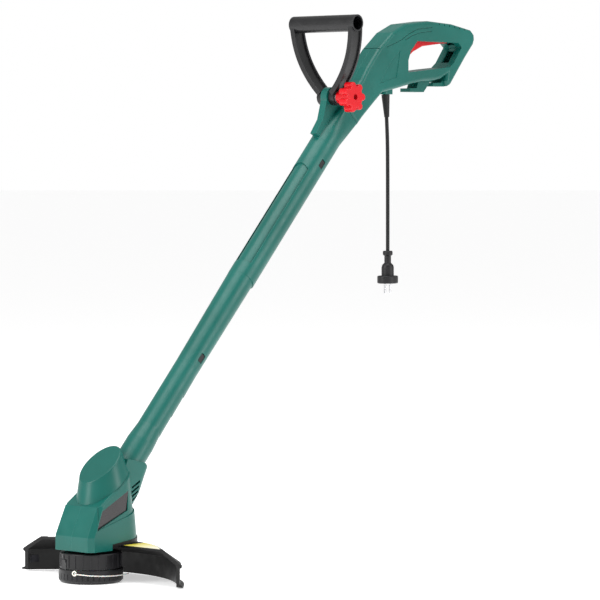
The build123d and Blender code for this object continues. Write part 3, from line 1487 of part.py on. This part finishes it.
front_handle.part.label = "front_handle"
export_step(front_handle.part, "parts/front_handle.step")

bolt_head = 4.5
with BuildPart() as clamp_bolt:
    add(cross_pin(pivot_x, pivot_z, bolt_radius, -44, hub_outer + 0.5))
    with BuildSketch(Plane(origin=(pivot_x, hub_outer, pivot_z), x_dir=(1, 0, 0), z_dir=(0, 1, 0))):
        RegularPolygon(6.5, 6, major_radius=False)
    extrude(amount=bolt_head)
clamp_bolt.part.label = "clamp_bolt"
export_step(clamp_bolt.part, "parts/clamp_bolt.step")

with BuildPart() as handle_washer:
    add(cross_pin(pivot_x, pivot_z, 9.0, -knob_back + 0.6, -hub_outer))
    add(cross_pin(pivot_x, pivot_z, bolt_radius + press_seat, -30, 0), mode=Mode.SUBTRACT)
handle_washer.part.label = "handle_washer"
export_step(handle_washer.part, "parts/handle_washer.step")

insert_radius = 6.0
insert_front = -40.0
with BuildPart() as clamp_knob:
    add(cross_pin(pivot_x, pivot_z, knob_boss_radius, -knob_front + 2, -knob_back))
    with BuildSketch(Plane(origin=(pivot_x, -knob_front, pivot_z), x_dir=(1, 0, 0), z_dir=(0, 1, 0))):
        Circle(knob_radius - knob_lobe_radius - 0.6)
        with PolarLocations(knob_radius - knob_lobe_radius, knob_lobes):
            Circle(knob_lobe_radius)
    extrude(amount=knob_head_length)
    fillet(clamp_knob.faces().sort_by(Axis.Y)[0].edges(), 1.5)
    add(cross_pin(pivot_x, pivot_z, insert_radius + press_seat, insert_front, 0), mode=Mode.SUBTRACT)
    add(cross_pin(pivot_x, pivot_z, bolt_radius + 0.5, -knob_front - 5, 0), mode=Mode.SUBTRACT)
clamp_knob.part.label = "clamp_knob"
export_step(clamp_knob.part, "parts/clamp_knob.step")

with BuildPart() as knob_insert:
    add(cross_pin(pivot_x, pivot_z, insert_radius, insert_front + press_seat, -knob_back - 0.2))
    add(cross_pin(pivot_x, pivot_z, bolt_radius + turning_fit, -60, 0), mode=Mode.SUBTRACT)
knob_insert.part.label = "knob_insert"
export_step(knob_insert.part, "parts/knob_insert.step")
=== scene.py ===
# %% [markdown]
# # A corded string trimmer
# This notebook dresses a finished CAD model of a light electric grass trimmer: a motor head with a guard and a
# spool of nylon line, a three-part plastic shaft, a rear grip with a trigger, a tilting front handle with a red
# clamp knob, and a short lead with a two-pin plug. The CAD model gives every size. Here each surface gets the
# finish of its real material, the two flexible pieces are drawn as curves, and a small studio is set round it all.

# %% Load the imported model
import math

import bpy
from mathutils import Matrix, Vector


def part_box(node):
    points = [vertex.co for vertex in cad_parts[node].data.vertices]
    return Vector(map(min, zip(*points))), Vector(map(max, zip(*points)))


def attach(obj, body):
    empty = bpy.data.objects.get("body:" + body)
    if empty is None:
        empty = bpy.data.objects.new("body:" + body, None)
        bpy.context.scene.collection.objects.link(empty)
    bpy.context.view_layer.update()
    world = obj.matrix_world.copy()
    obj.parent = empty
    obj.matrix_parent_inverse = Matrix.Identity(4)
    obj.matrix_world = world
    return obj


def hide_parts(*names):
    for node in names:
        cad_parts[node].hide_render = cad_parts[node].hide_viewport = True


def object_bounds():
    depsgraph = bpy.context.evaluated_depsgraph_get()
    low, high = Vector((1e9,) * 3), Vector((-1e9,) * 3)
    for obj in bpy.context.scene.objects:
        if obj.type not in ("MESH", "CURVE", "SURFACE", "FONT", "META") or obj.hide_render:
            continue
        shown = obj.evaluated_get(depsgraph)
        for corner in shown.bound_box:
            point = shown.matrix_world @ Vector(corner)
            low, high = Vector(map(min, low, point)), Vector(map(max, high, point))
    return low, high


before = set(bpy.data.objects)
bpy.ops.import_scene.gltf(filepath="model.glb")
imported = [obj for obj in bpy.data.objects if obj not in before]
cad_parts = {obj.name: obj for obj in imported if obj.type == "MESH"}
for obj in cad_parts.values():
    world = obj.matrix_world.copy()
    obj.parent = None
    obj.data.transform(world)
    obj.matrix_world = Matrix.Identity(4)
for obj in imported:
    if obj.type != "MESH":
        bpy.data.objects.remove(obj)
cad_low, cad_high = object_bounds()
print("CAD box, metres:", [round(v, 4) for v in (*cad_low, *cad_high)])

# %% [markdown]
# ## The camera
# A long lens flattens perspective, which is how product pictures of long, thin tools are usually taken. The camera
# stands over four metres away, almost level, and looks along the tool's near side and a little at its front.
# It is placed by numbers instead of a tracking constraint, so it stays exactly repeatable.

# %% Camera
VIEW_TURN = math.radians(-48.5)
VIEW_TILT = math.radians(90 - 2.482)

camera_data = bpy.data.cameras.new("studio_camera")
camera_data.lens = 196.56
camera_data.sensor_width = 36
camera_data.clip_end = 60
camera = bpy.data.objects.new("studio_camera", camera_data)
camera.location = (-3.2375, -3.2565, 0.5939)
camera.rotation_euler = (VIEW_TILT, 0, VIEW_TURN)
bpy.context.scene.collection.objects.link(camera)
bpy.context.scene.camera = camera
print("camera", tuple(round(v, 3) for v in camera.location), "lens", camera_data.lens)

# %% [markdown]
# ## Flexible pieces
# A lead and a nylon line could be swept meshes, but a curve with a round bevel keeps one editable centreline and
# never kinks. The helper makes one NURBS spline of order three that starts and ends on its outer points. The order
# and the end setting come after the points, because Blender limits the order to the number of points it has.

# %% A helper for round flexible pieces
def flexible(name, route, diameter, sides=6):
    """A round curve that follows a route of control points, in metres."""
    line = bpy.data.curves.new(name, "CURVE")
    line.dimensions = "3D"
    line.bevel_depth = diameter / 2
    line.bevel_resolution = sides
    line.use_fill_caps = True
    line.resolution_u = 24
    spline = line.splines.new("NURBS")
    spline.points.add(len(route) - 1)
    for point, place in zip(spline.points, route):
        point.co = (*place, 1)
    spline.order_u = 3
    spline.use_endpoint_u = True
    piece = bpy.data.objects.new(name, line)
    bpy.context.scene.collection.objects.link(piece)
    return piece


# %% [markdown]
# ## The mains lead
# The lead leaves the grip through a tapered rubber sleeve and hangs straight down under the weight of its plug. It
# starts inside the grip, at the clamp that takes the pull, and ends inside the plug, so neither end is ever seen.

# %% Mains lead
LEAD_DIAMETER = 0.0057
LEAD_ROUTE = [
    (0.64036, 0, 0.714),
    (0.6468, 0, 0.643),
    (0.6481, 0, 0.570),
    (0.6481, 0, 0.440),
]
mains_lead = flexible("mains_lead", LEAD_ROUTE, LEAD_DIAMETER, sides=8)
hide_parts("power_cord")
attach(mains_lead, "frame")
print("lead from", LEAD_ROUTE[0], "to", LEAD_ROUTE[-1])

# %% [markdown]
# ## The cutting line
# The nylon line comes out of a metal eyelet in the spool cap and springs back round it, because it keeps the curl of
# the spool it was wound on. Its control points are given as an angle and a reach round the cap's own centre.

# %% Cutting line
LINE_DIAMETER = 0.0016
CAP_RADIUS = 0.0453
EYELET_ANGLE = 195
# turn past the eyelet in degrees, reach beyond the cap and height, both in metres
LINE_STEPS = [
    (-0.5, -0.0004, 0.0156),
    (1.2, 0.0030, 0.0155),
    (6, 0.0044, 0.0152),
    (14, 0.0040, 0.0145),
    (28, 0.0032, 0.0133),
    (50, 0.0025, 0.0121),
    (74, 0.0024, 0.0113),
    (97, 0.0034, 0.0108),
    (117, 0.0076, 0.0105),
]


def round_the_cap(turn, reach, height):
    """A point beside the spool cap, from its angle past the eyelet."""
    angle = math.radians(EYELET_ANGLE + turn)
    out = CAP_RADIUS + reach
    return (out * math.cos(angle), out * math.sin(angle), height)


line_route = [round_the_cap(*step) for step in LINE_STEPS]
trimmer_line = flexible("trimmer_line", line_route, LINE_DIAMETER, sides=5)
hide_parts("cutting_line")
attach(trimmer_line, "cap")
print("line ends at", tuple(round(v, 4) for v in line_route[-1]))

# %% [markdown]
# ## The studio
# The tool stands on a wide, plain, pale floor. One very large softbox hangs overhead, a second stands on the camera's
# left and a weaker one on its right, and an even white surrounding light fills the shadows. Large lights make the
# long soft highlights that show how smooth moulded plastic is.

# %% Floor
FLOOR_HALF = 60.0
FLOOR_GLOW = 0.5

floor_mesh = bpy.data.meshes.new("studio_floor")
floor_mesh.from_pydata(
    [(-FLOOR_HALF, -FLOOR_HALF, 0), (FLOOR_HALF, -FLOOR_HALF, 0), (FLOOR_HALF, FLOOR_HALF, 0), (-FLOOR_HALF, FLOOR_HALF, 0)],
    [],
    [(0, 1, 2, 3)],
)
floor = bpy.data.objects.new("studio_floor", floor_mesh)
floor.location.z = cad_low.z - 0.0002
bpy.context.scene.collection.objects.link(floor)

floor_paint = bpy.data.materials.new("floor_paint")
floor_paint.use_nodes = True
floor_shader = floor_paint.node_tree.nodes["Principled BSDF"]
floor_shader.inputs["Base Color"].default_value = (0.93, 0.93, 0.93, 1)
floor_shader.inputs["Roughness"].default_value = 0.9
floor_shader.inputs["Specular IOR Level"].default_value = 0.1
floor_shader.inputs["Emission Color"].default_value = (1, 1, 1, 1)
floor_shader.inputs["Emission Strength"].default_value = FLOOR_GLOW
floor_mesh.materials.append(floor_paint)
print("floor height", round(floor.location.z, 4))

# %% Surrounding light
SURROUND_GLOW = 0.5
BACKDROP_GLOW = 1.0

surround = bpy.data.worlds.new("white_surround")
surround.use_nodes = True
surround_tree = surround.node_tree
fill = surround_tree.nodes["Background"]
fill.inputs["Color"].default_value = (1, 1, 1, 1)
fill.inputs["Strength"].default_value = SURROUND_GLOW
backdrop = surround_tree.nodes.new("ShaderNodeBackground")
backdrop.inputs["Color"].default_value = (1, 1, 1, 1)
backdrop.inputs["Strength"].default_value = BACKDROP_GLOW
seen = surround_tree.nodes.new("ShaderNodeLightPath")
choose = surround_tree.nodes.new("ShaderNodeMixShader")
surround_tree.links.new(seen.outputs["Is Camera Ray"], choose.inputs["Fac"])
surround_tree.links.new(fill.outputs["Background"], choose.inputs[1])
surround_tree.links.new(backdrop.outputs["Background"], choose.inputs[2])
surround_tree.links.new(choose.outputs["Shader"], surround_tree.nodes["World Output"].inputs["Surface"])
bpy.context.scene.world = surround
bpy.context.scene.view_settings.view_transform = "Standard"
print("surround", SURROUND_GLOW, "backdrop", BACKDROP_GLOW)

# %% Softboxes
middle = (cad_low + cad_high) / 2


def softbox(name, offset, width, height, watts):
    """A rectangular lamp at an offset from the middle of the tool, aimed at that middle."""
    lamp = bpy.data.lights.new(name, "AREA")
    lamp.shape = "RECTANGLE"
    lamp.size = width
    lamp.size_y = height
    lamp.energy = watts
    stand = bpy.data.objects.new(name, lamp)
    stand.location = middle + Vector(offset)
    aim = Vector(offset)
    stand.rotation_euler = aim.to_track_quat("Z", "Y").to_euler()
    bpy.context.scene.collection.objects.link(stand)
    return stand


softbox("overhead_softbox", (-0.5, -0.3, 2.6), 2.2, 2.2, 55)
softbox("left_softbox", (-3.0, 0.9, 1.3), 1.0, 2.6, 60)
softbox("right_softbox", (1.2, -3.0, 0.9), 1.0, 2.6, 40)

# %% [markdown]
# ## Tools for making finishes
# Every finish starts from three ingredients: a noise that says where the surface differs, a ramp or a range that
# says how much its colour or its gloss differs there, and a bump that raises the fine texture the mould leaves.
# Noise is read in the object's own metres, so a grain has the same size on a big part and on a small one.

# %% Node helpers
def srgb(red, green, blue):
    """Linear colour from the 0 to 255 numbers of a colour chart."""
    def linear(v):
        v = v / 255
        return v / 12.92 if v <= 0.04045 else ((v + 0.055) / 1.055) ** 2.4
    return (linear(red), linear(green), linear(blue), 1)


def new_finish(name):
    """An empty finish: the material, its node tree and its shader."""
    finish = bpy.data.materials.new(name)
    finish.use_nodes = True
    return finish, finish.node_tree, finish.node_tree.nodes["Principled BSDF"]


def mottle(tree, scale, detail=4.0, stretch=(1, 1, 1)):
    """Noise in the object's own metres. A small stretch draws the pattern out along that axis."""
    place = tree.nodes.new("ShaderNodeTexCoord")
    size = tree.nodes.new("ShaderNodeMapping")
    size.inputs["Scale"].default_value = stretch
    noise = tree.nodes.new("ShaderNodeTexNoise")
    noise.inputs["Scale"].default_value = scale
    noise.inputs["Detail"].default_value = detail
    tree.links.new(place.outputs["Object"], size.inputs["Vector"])
    tree.links.new(size.outputs["Vector"], noise.inputs["Vector"])
    return noise.outputs["Fac"]


def between(tree, source, low, high):
    """Turns a noise into a number between low and high."""
    remap = tree.nodes.new("ShaderNodeMapRange")
    remap.inputs["From Min"].default_value = 0.3
    remap.inputs["From Max"].default_value = 0.7
    remap.inputs["To Min"].default_value = low
    remap.inputs["To Max"].default_value = high
    tree.links.new(source, remap.inputs["Value"])
    return remap.outputs["Result"]


def tint(tree, source, first, last, start=0.35, stop=0.65):
    """Turns a number into a colour between two."""
    ramp = tree.nodes.new("ShaderNodeValToRGB")
    ramp.color_ramp.elements[0].position = start
    ramp.color_ramp.elements[0].color = first
    ramp.color_ramp.elements[1].position = stop
    ramp.color_ramp.elements[1].color = last
    tree.links.new(source, ramp.inputs["Fac"])
    return ramp.outputs["Color"]


def eased_edges(tree, radius):
    """A normal that rolls over sharp corners, as the small radius of a moulded edge does."""
    bevel = tree.nodes.new("ShaderNodeBevel")
    bevel.samples = 4
    bevel.inputs["Radius"].default_value = radius
    return bevel.outputs["Normal"]


def raised(tree, source, height, normal=None):
    """A bump of that height in metres, laid over another normal if one is given."""
    bump = tree.nodes.new("ShaderNodeBump")
    bump.inputs["Strength"].default_value = 1.0
    bump.inputs["Distance"].default_value = height
    tree.links.new(source, bump.inputs["Height"])
    if normal is not None:
        tree.links.new(normal, bump.inputs["Normal"])
    return bump.outputs["Normal"]


def painted_highlight_mask(tree, radius):
    """1 on corners and 0 on flats: where a painted highlight makes a part's corners paler."""
    shape = tree.nodes.new("ShaderNodeNewGeometry")
    rolled = tree.nodes.new("ShaderNodeBevel")
    rolled.samples = 4
    rolled.inputs["Radius"].default_value = radius
    match = tree.nodes.new("ShaderNodeVectorMath")
    match.operation = "DOT_PRODUCT"
    edge = tree.nodes.new("ShaderNodeMapRange")
    edge.inputs["From Min"].default_value = 0.995
    edge.inputs["From Max"].default_value = 0.90
    tree.links.new(shape.outputs["Normal"], match.inputs[0])
    tree.links.new(rolled.outputs["Normal"], match.inputs[1])
    tree.links.new(match.outputs["Value"], edge.inputs["Value"])
    return edge.outputs["Result"]


def add_painted_edge_highlight(tree, colour, edge, pale, share):
    """A colour that turns paler by a share of the edge mask: a painted highlight on the corners."""
    amount = tree.nodes.new("ShaderNodeMath")
    amount.operation = "MULTIPLY"
    amount.inputs[1].default_value = share
    blend = tree.nodes.new("ShaderNodeMix")
    blend.data_type = "RGBA"
    blend.inputs["B"].default_value = pale
    tree.links.new(edge, amount.inputs[0])
    tree.links.new(amount.outputs["Value"], blend.inputs["Factor"])
    tree.links.new(colour, blend.inputs["A"])
    return blend.outputs["Result"]


print("finish tools ready")

# %% [markdown]
# ## Moulded plastic
# Nearly everything on this tool is injection moulded. Coloured polypropylene and ABS come out of the mould with a
# fine spark-eroded grain, a slightly uneven gloss where the melt flowed, and corners that catch the light. Here a
# bevelled normal rolls those corners, and a painted highlight makes their colour paler too. One recipe makes them
# all, so that the green, red and black parts differ only by colour, gloss, grain and painted edge highlight.

# %% Moulded plastic
def moulded(name, deep, fair, gloss, grain_height, edge_radius=0.0006, edge_highlight_tone=None, specular=0.5, coat=0.0):
    """Injection-moulded plastic. gloss is the range of its roughness, and grain_height the mould grain's in metres."""
    finish, tree, shader = new_finish(name)
    flow = mottle(tree, 9, detail=3)
    cloud = mottle(tree, 70, detail=5)
    colour = tint(tree, flow, deep, fair)
    # Painted highlight: where an edge tone is given, the colour on the corners turns paler towards it.
    if edge_highlight_tone is not None:
        colour = add_painted_edge_highlight(tree, colour, painted_highlight_mask(tree, edge_radius), edge_highlight_tone, 0.55)
    tree.links.new(colour, shader.inputs["Base Color"])
    tree.links.new(between(tree, cloud, *gloss), shader.inputs["Roughness"])
    ripple = raised(tree, cloud, 0.00002, eased_edges(tree, edge_radius))
    grain = raised(tree, mottle(tree, 2600, detail=2), grain_height, ripple)
    tree.links.new(grain, shader.inputs["Normal"])
    shader.inputs["Specular IOR Level"].default_value = specular
    shader.inputs["Coat Weight"].default_value = coat
    shader.inputs["Coat Roughness"].default_value = 0.2
    return finish


# Each edge tone below is the colour of a painted highlight on the part's corners.
housing_green = moulded(
    "moulded_green", srgb(4, 88, 79), srgb(9, 98, 89), gloss=(0.30, 0.40), grain_height=0.000010,
    edge_radius=0.0009, edge_highlight_tone=srgb(40, 128, 118), specular=0.4)
red_plastic = moulded(
    "moulded_red", srgb(196, 3, 18), srgb(214, 6, 24), gloss=(0.26, 0.36), grain_height=0.000008,
    edge_radius=0.0008, edge_highlight_tone=srgb(232, 52, 62), specular=0.4)
guard_black = moulded(
    "guard_black_plastic", srgb(4, 4, 4), srgb(9, 9, 9), gloss=(0.36, 0.5), grain_height=0.00002,
    edge_highlight_tone=srgb(58, 58, 60), specular=0.3)
head_black = moulded(
    "spool_black_plastic", srgb(10, 10, 12), srgb(17, 16, 20), gloss=(0.32, 0.46), grain_height=0.000015,
    edge_highlight_tone=srgb(56, 56, 62), specular=0.4)
handle_black = moulded(
    "handle_black_plastic", srgb(9, 9, 11), srgb(17, 17, 20), gloss=(0.3, 0.42), grain_height=0.00002,
    edge_highlight_tone=srgb(62, 62, 70), specular=0.5)
plug_black = moulded(
    "plug_black_vinyl", srgb(10, 10, 12), srgb(18, 17, 20), gloss=(0.4, 0.52), grain_height=0.000015,
    edge_highlight_tone=srgb(52, 52, 58), specular=0.4)
inner_plastic = moulded(
    "inner_grey_plastic", srgb(36, 36, 39), srgb(48, 48, 51), gloss=(0.45, 0.6), grain_height=0.00002)
capacitor_case = moulded(
    "capacitor_yellow", srgb(206, 158, 36), srgb(222, 176, 52), gloss=(0.25, 0.35), grain_height=0.00001)
print("moulded finishes made")

# %% [markdown]
# ## The side panels
# The two dark panels on the motor head are smooth and a little translucent, and show a faint warm sheen where the
# light crosses them. A thin coat over a very dark red-brown base gives that, with a slow colour change along it.

# %% Side panels
def smoked_panel():
    """Dark, smooth panel plastic with a warm cast."""
    finish, tree, shader = new_finish("smoked_panel")
    drift = mottle(tree, 22, detail=2)
    tree.links.new(tint(tree, drift, srgb(10, 6, 9), srgb(26, 15, 20)), shader.inputs["Base Color"])
    tree.links.new(between(tree, mottle(tree, 120), 0.16, 0.3), shader.inputs["Roughness"])
    wave = raised(tree, mottle(tree, 45), 0.00003, eased_edges(tree, 0.0005))
    tree.links.new(wave, shader.inputs["Normal"])
    shader.inputs["Specular IOR Level"].default_value = 0.45
    shader.inputs["Coat Weight"].default_value = 0.3
    shader.inputs["Coat Roughness"].default_value = 0.12
    return finish


panel_black = smoked_panel()

# %% [markdown]
# ## The printed film on the guard
# A plain printed film is stuck on top of each wing of the guard. It is strong yellow beside the motor collar and
# fades to cream outwards. The fade is read from the film's own place on the part, so it needs no image.

# %% Printed film
def guard_film():
    """Printed film that fades outwards from yellow to cream."""
    finish, tree, shader = new_finish("guard_film")
    low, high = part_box("guard_label")
    place = tree.nodes.new("ShaderNodeTexCoord")
    parts = tree.nodes.new("ShaderNodeSeparateXYZ")
    away = tree.nodes.new("ShaderNodeMapRange")
    away.inputs["From Min"].default_value = high.y
    away.inputs["From Max"].default_value = low.y
    tree.links.new(place.outputs["Object"], parts.inputs["Vector"])
    tree.links.new(parts.outputs["Y"], away.inputs["Value"])
    fade = tint(tree, away.outputs["Result"], srgb(240, 222, 60), srgb(247, 242, 215), start=0.05, stop=0.75)
    tree.links.new(fade, shader.inputs["Base Color"])
    tree.links.new(between(tree, mottle(tree, 160), 0.28, 0.4), shader.inputs["Roughness"])
    tree.links.new(raised(tree, mottle(tree, 300), 0.00001), shader.inputs["Normal"])
    return finish


label_film = guard_film()

# %% [markdown]
# ## Metals
# The metal pieces are small: screws, springs, the eyelet, plug pins and the motor's parts. Each is brushed, turned
# or drawn, which leaves fine lines in one direction. Stretching the noise along one axis draws those lines.

# %% Metals
def worked_metal(name, dull, bright, gloss, lines=(1, 1, 1), line_height=0.00001, scale=700):
    """Metal with fine lines. The stretch of its lines is small along the direction in which they run."""
    finish, tree, shader = new_finish(name)
    scratch = mottle(tree, scale, detail=6, stretch=lines)
    tree.links.new(tint(tree, mottle(tree, 60), dull, bright), shader.inputs["Base Color"])
    tree.links.new(between(tree, scratch, *gloss), shader.inputs["Roughness"])
    tree.links.new(raised(tree, scratch, line_height, eased_edges(tree, 0.0003)), shader.inputs["Normal"])
    shader.inputs["Metallic"].default_value = 1.0
    return finish


steel = worked_metal("ground_steel", srgb(176, 176, 180), srgb(204, 204, 208), (0.24, 0.4), lines=(1, 1, 0.08))
black_steel = worked_metal("blackened_steel", srgb(26, 26, 28), srgb(44, 44, 47), (0.34, 0.48))
screw_steel = worked_metal("zinc_screws", srgb(168, 170, 176), srgb(196, 197, 200), (0.28, 0.42))
spring_steel = worked_metal("drawn_spring_wire", srgb(150, 150, 154), srgb(186, 186, 190), (0.2, 0.34))
eyelet_metal = worked_metal("polished_eyelet", srgb(222, 216, 200), srgb(240, 236, 226), (0.12, 0.24))
copper = worked_metal("enamelled_copper", srgb(168, 92, 52), srgb(206, 126, 78), (0.22, 0.36), lines=(1, 1, 6))
brass = worked_metal("turned_brass", srgb(196, 160, 88), srgb(222, 190, 120), (0.2, 0.34), lines=(1, 6, 1))
pin_metal = worked_metal("nickel_pins", srgb(206, 206, 208), srgb(228, 228, 230), (0.14, 0.26), lines=(1, 1, 0.1))
print("metal finishes made")

# %% [markdown]
# ## Motor materials
# The magnets and brushes inside the motor are pressed powders. They are dull, grey-black and finely pitted, which a
# strong fine noise in both the colour and the bump gives. They only show when the housing is taken off.

# %% Pressed powders
def pressed_powder(name, dark, pale, pit_height):
    """Sintered or pressed powder with a matt, pitted surface."""
    finish, tree, shader = new_finish(name)
    pits = mottle(tree, 1500, detail=8)
    tree.links.new(tint(tree, pits, dark, pale), shader.inputs["Base Color"])
    tree.links.new(between(tree, pits, 0.55, 0.8), shader.inputs["Roughness"])
    tree.links.new(raised(tree, pits, pit_height), shader.inputs["Normal"])
    return finish


ferrite = pressed_powder("sintered_ferrite", srgb(44, 44, 47), srgb(66, 66, 70), 0.00004)
carbon = pressed_powder("pressed_carbon", srgb(26, 26, 26), srgb(44, 44, 45), 0.00003)

# %% [markdown]
# ## Lead, cable and nylon
# Extruded pieces carry faint lines along their length from the die. The rubber lead is soft and nearly matt with a
# little dust, the cable inside the shaft is plain grey, and the nylon line is milky and lets some light through.

# %% Extruded pieces
def extruded(name, deep, fair, gloss, line_height, specular=0.5):
    """Rubber or plastic drawn through a die, with faint lines along it."""
    finish, tree, shader = new_finish(name)
    die_lines = mottle(tree, 1200, detail=3, stretch=(1, 1, 0.03))
    tree.links.new(tint(tree, mottle(tree, 50), deep, fair), shader.inputs["Base Color"])
    tree.links.new(between(tree, mottle(tree, 200), *gloss), shader.inputs["Roughness"])
    tree.links.new(raised(tree, die_lines, line_height), shader.inputs["Normal"])
    shader.inputs["Specular IOR Level"].default_value = specular
    return finish


cord_rubber = extruded("lead_rubber", srgb(8, 8, 9), srgb(16, 16, 18), (0.42, 0.6), 0.00003, specular=0.35)
cable_grey = extruded("cable_grey", srgb(128, 130, 134), srgb(146, 148, 152), (0.4, 0.55), 0.00002)


def milky_nylon():
    """Extruded nylon line that lets some light through."""
    finish, tree, shader = new_finish("milky_nylon")
    tree.links.new(tint(tree, mottle(tree, 120), srgb(214, 214, 208), srgb(236, 236, 232)), shader.inputs["Base Color"])
    tree.links.new(between(tree, mottle(tree, 260), 0.2, 0.34), shader.inputs["Roughness"])
    tree.links.new(raised(tree, mottle(tree, 1500), 0.00001), shader.inputs["Normal"])
    shader.inputs["Subsurface Weight"].default_value = 0.25
    shader.inputs["Subsurface Scale"].default_value = 0.001
    return finish


nylon_line = milky_nylon()
print("extruded finishes made")

# %% [markdown]
# ## Dressing the parts
# Each CAD part already carries the name of the material it is made of. The finishes above go on by that name, so a
# part that is added to the model later is dressed without another line here.

# %% Put every finish on
FINISHES = {
    "housing_green": housing_green,
    "red_plastic": red_plastic,
    "guard_black": guard_black,
    "head_black": head_black,
    "handle_black": handle_black,
    "panel_black": panel_black,
    "plug_black": plug_black,
    "inner_plastic": inner_plastic,
    "capacitor_case": capacitor_case,
    "label_film": label_film,
    "steel": steel,
    "black_steel": black_steel,
    "screw_steel": screw_steel,
    "spring_steel": spring_steel,
    "eyelet_metal": eyelet_metal,
    "copper": copper,
    "brass": brass,
    "pin_metal": pin_metal,
    "ferrite": ferrite,
    "carbon": carbon,
    "cord_rubber": cord_rubber,
    "cable_grey": cable_grey,
    "nylon_line": nylon_line,
}

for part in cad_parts.values():
    for holder in part.material_slots:
        holder.material = FINISHES[holder.material.name.split(".")[0]]
mains_lead.data.materials.append(cord_rubber)
trimmer_line.data.materials.append(nylon_line)
print("parts dressed:", len(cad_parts))
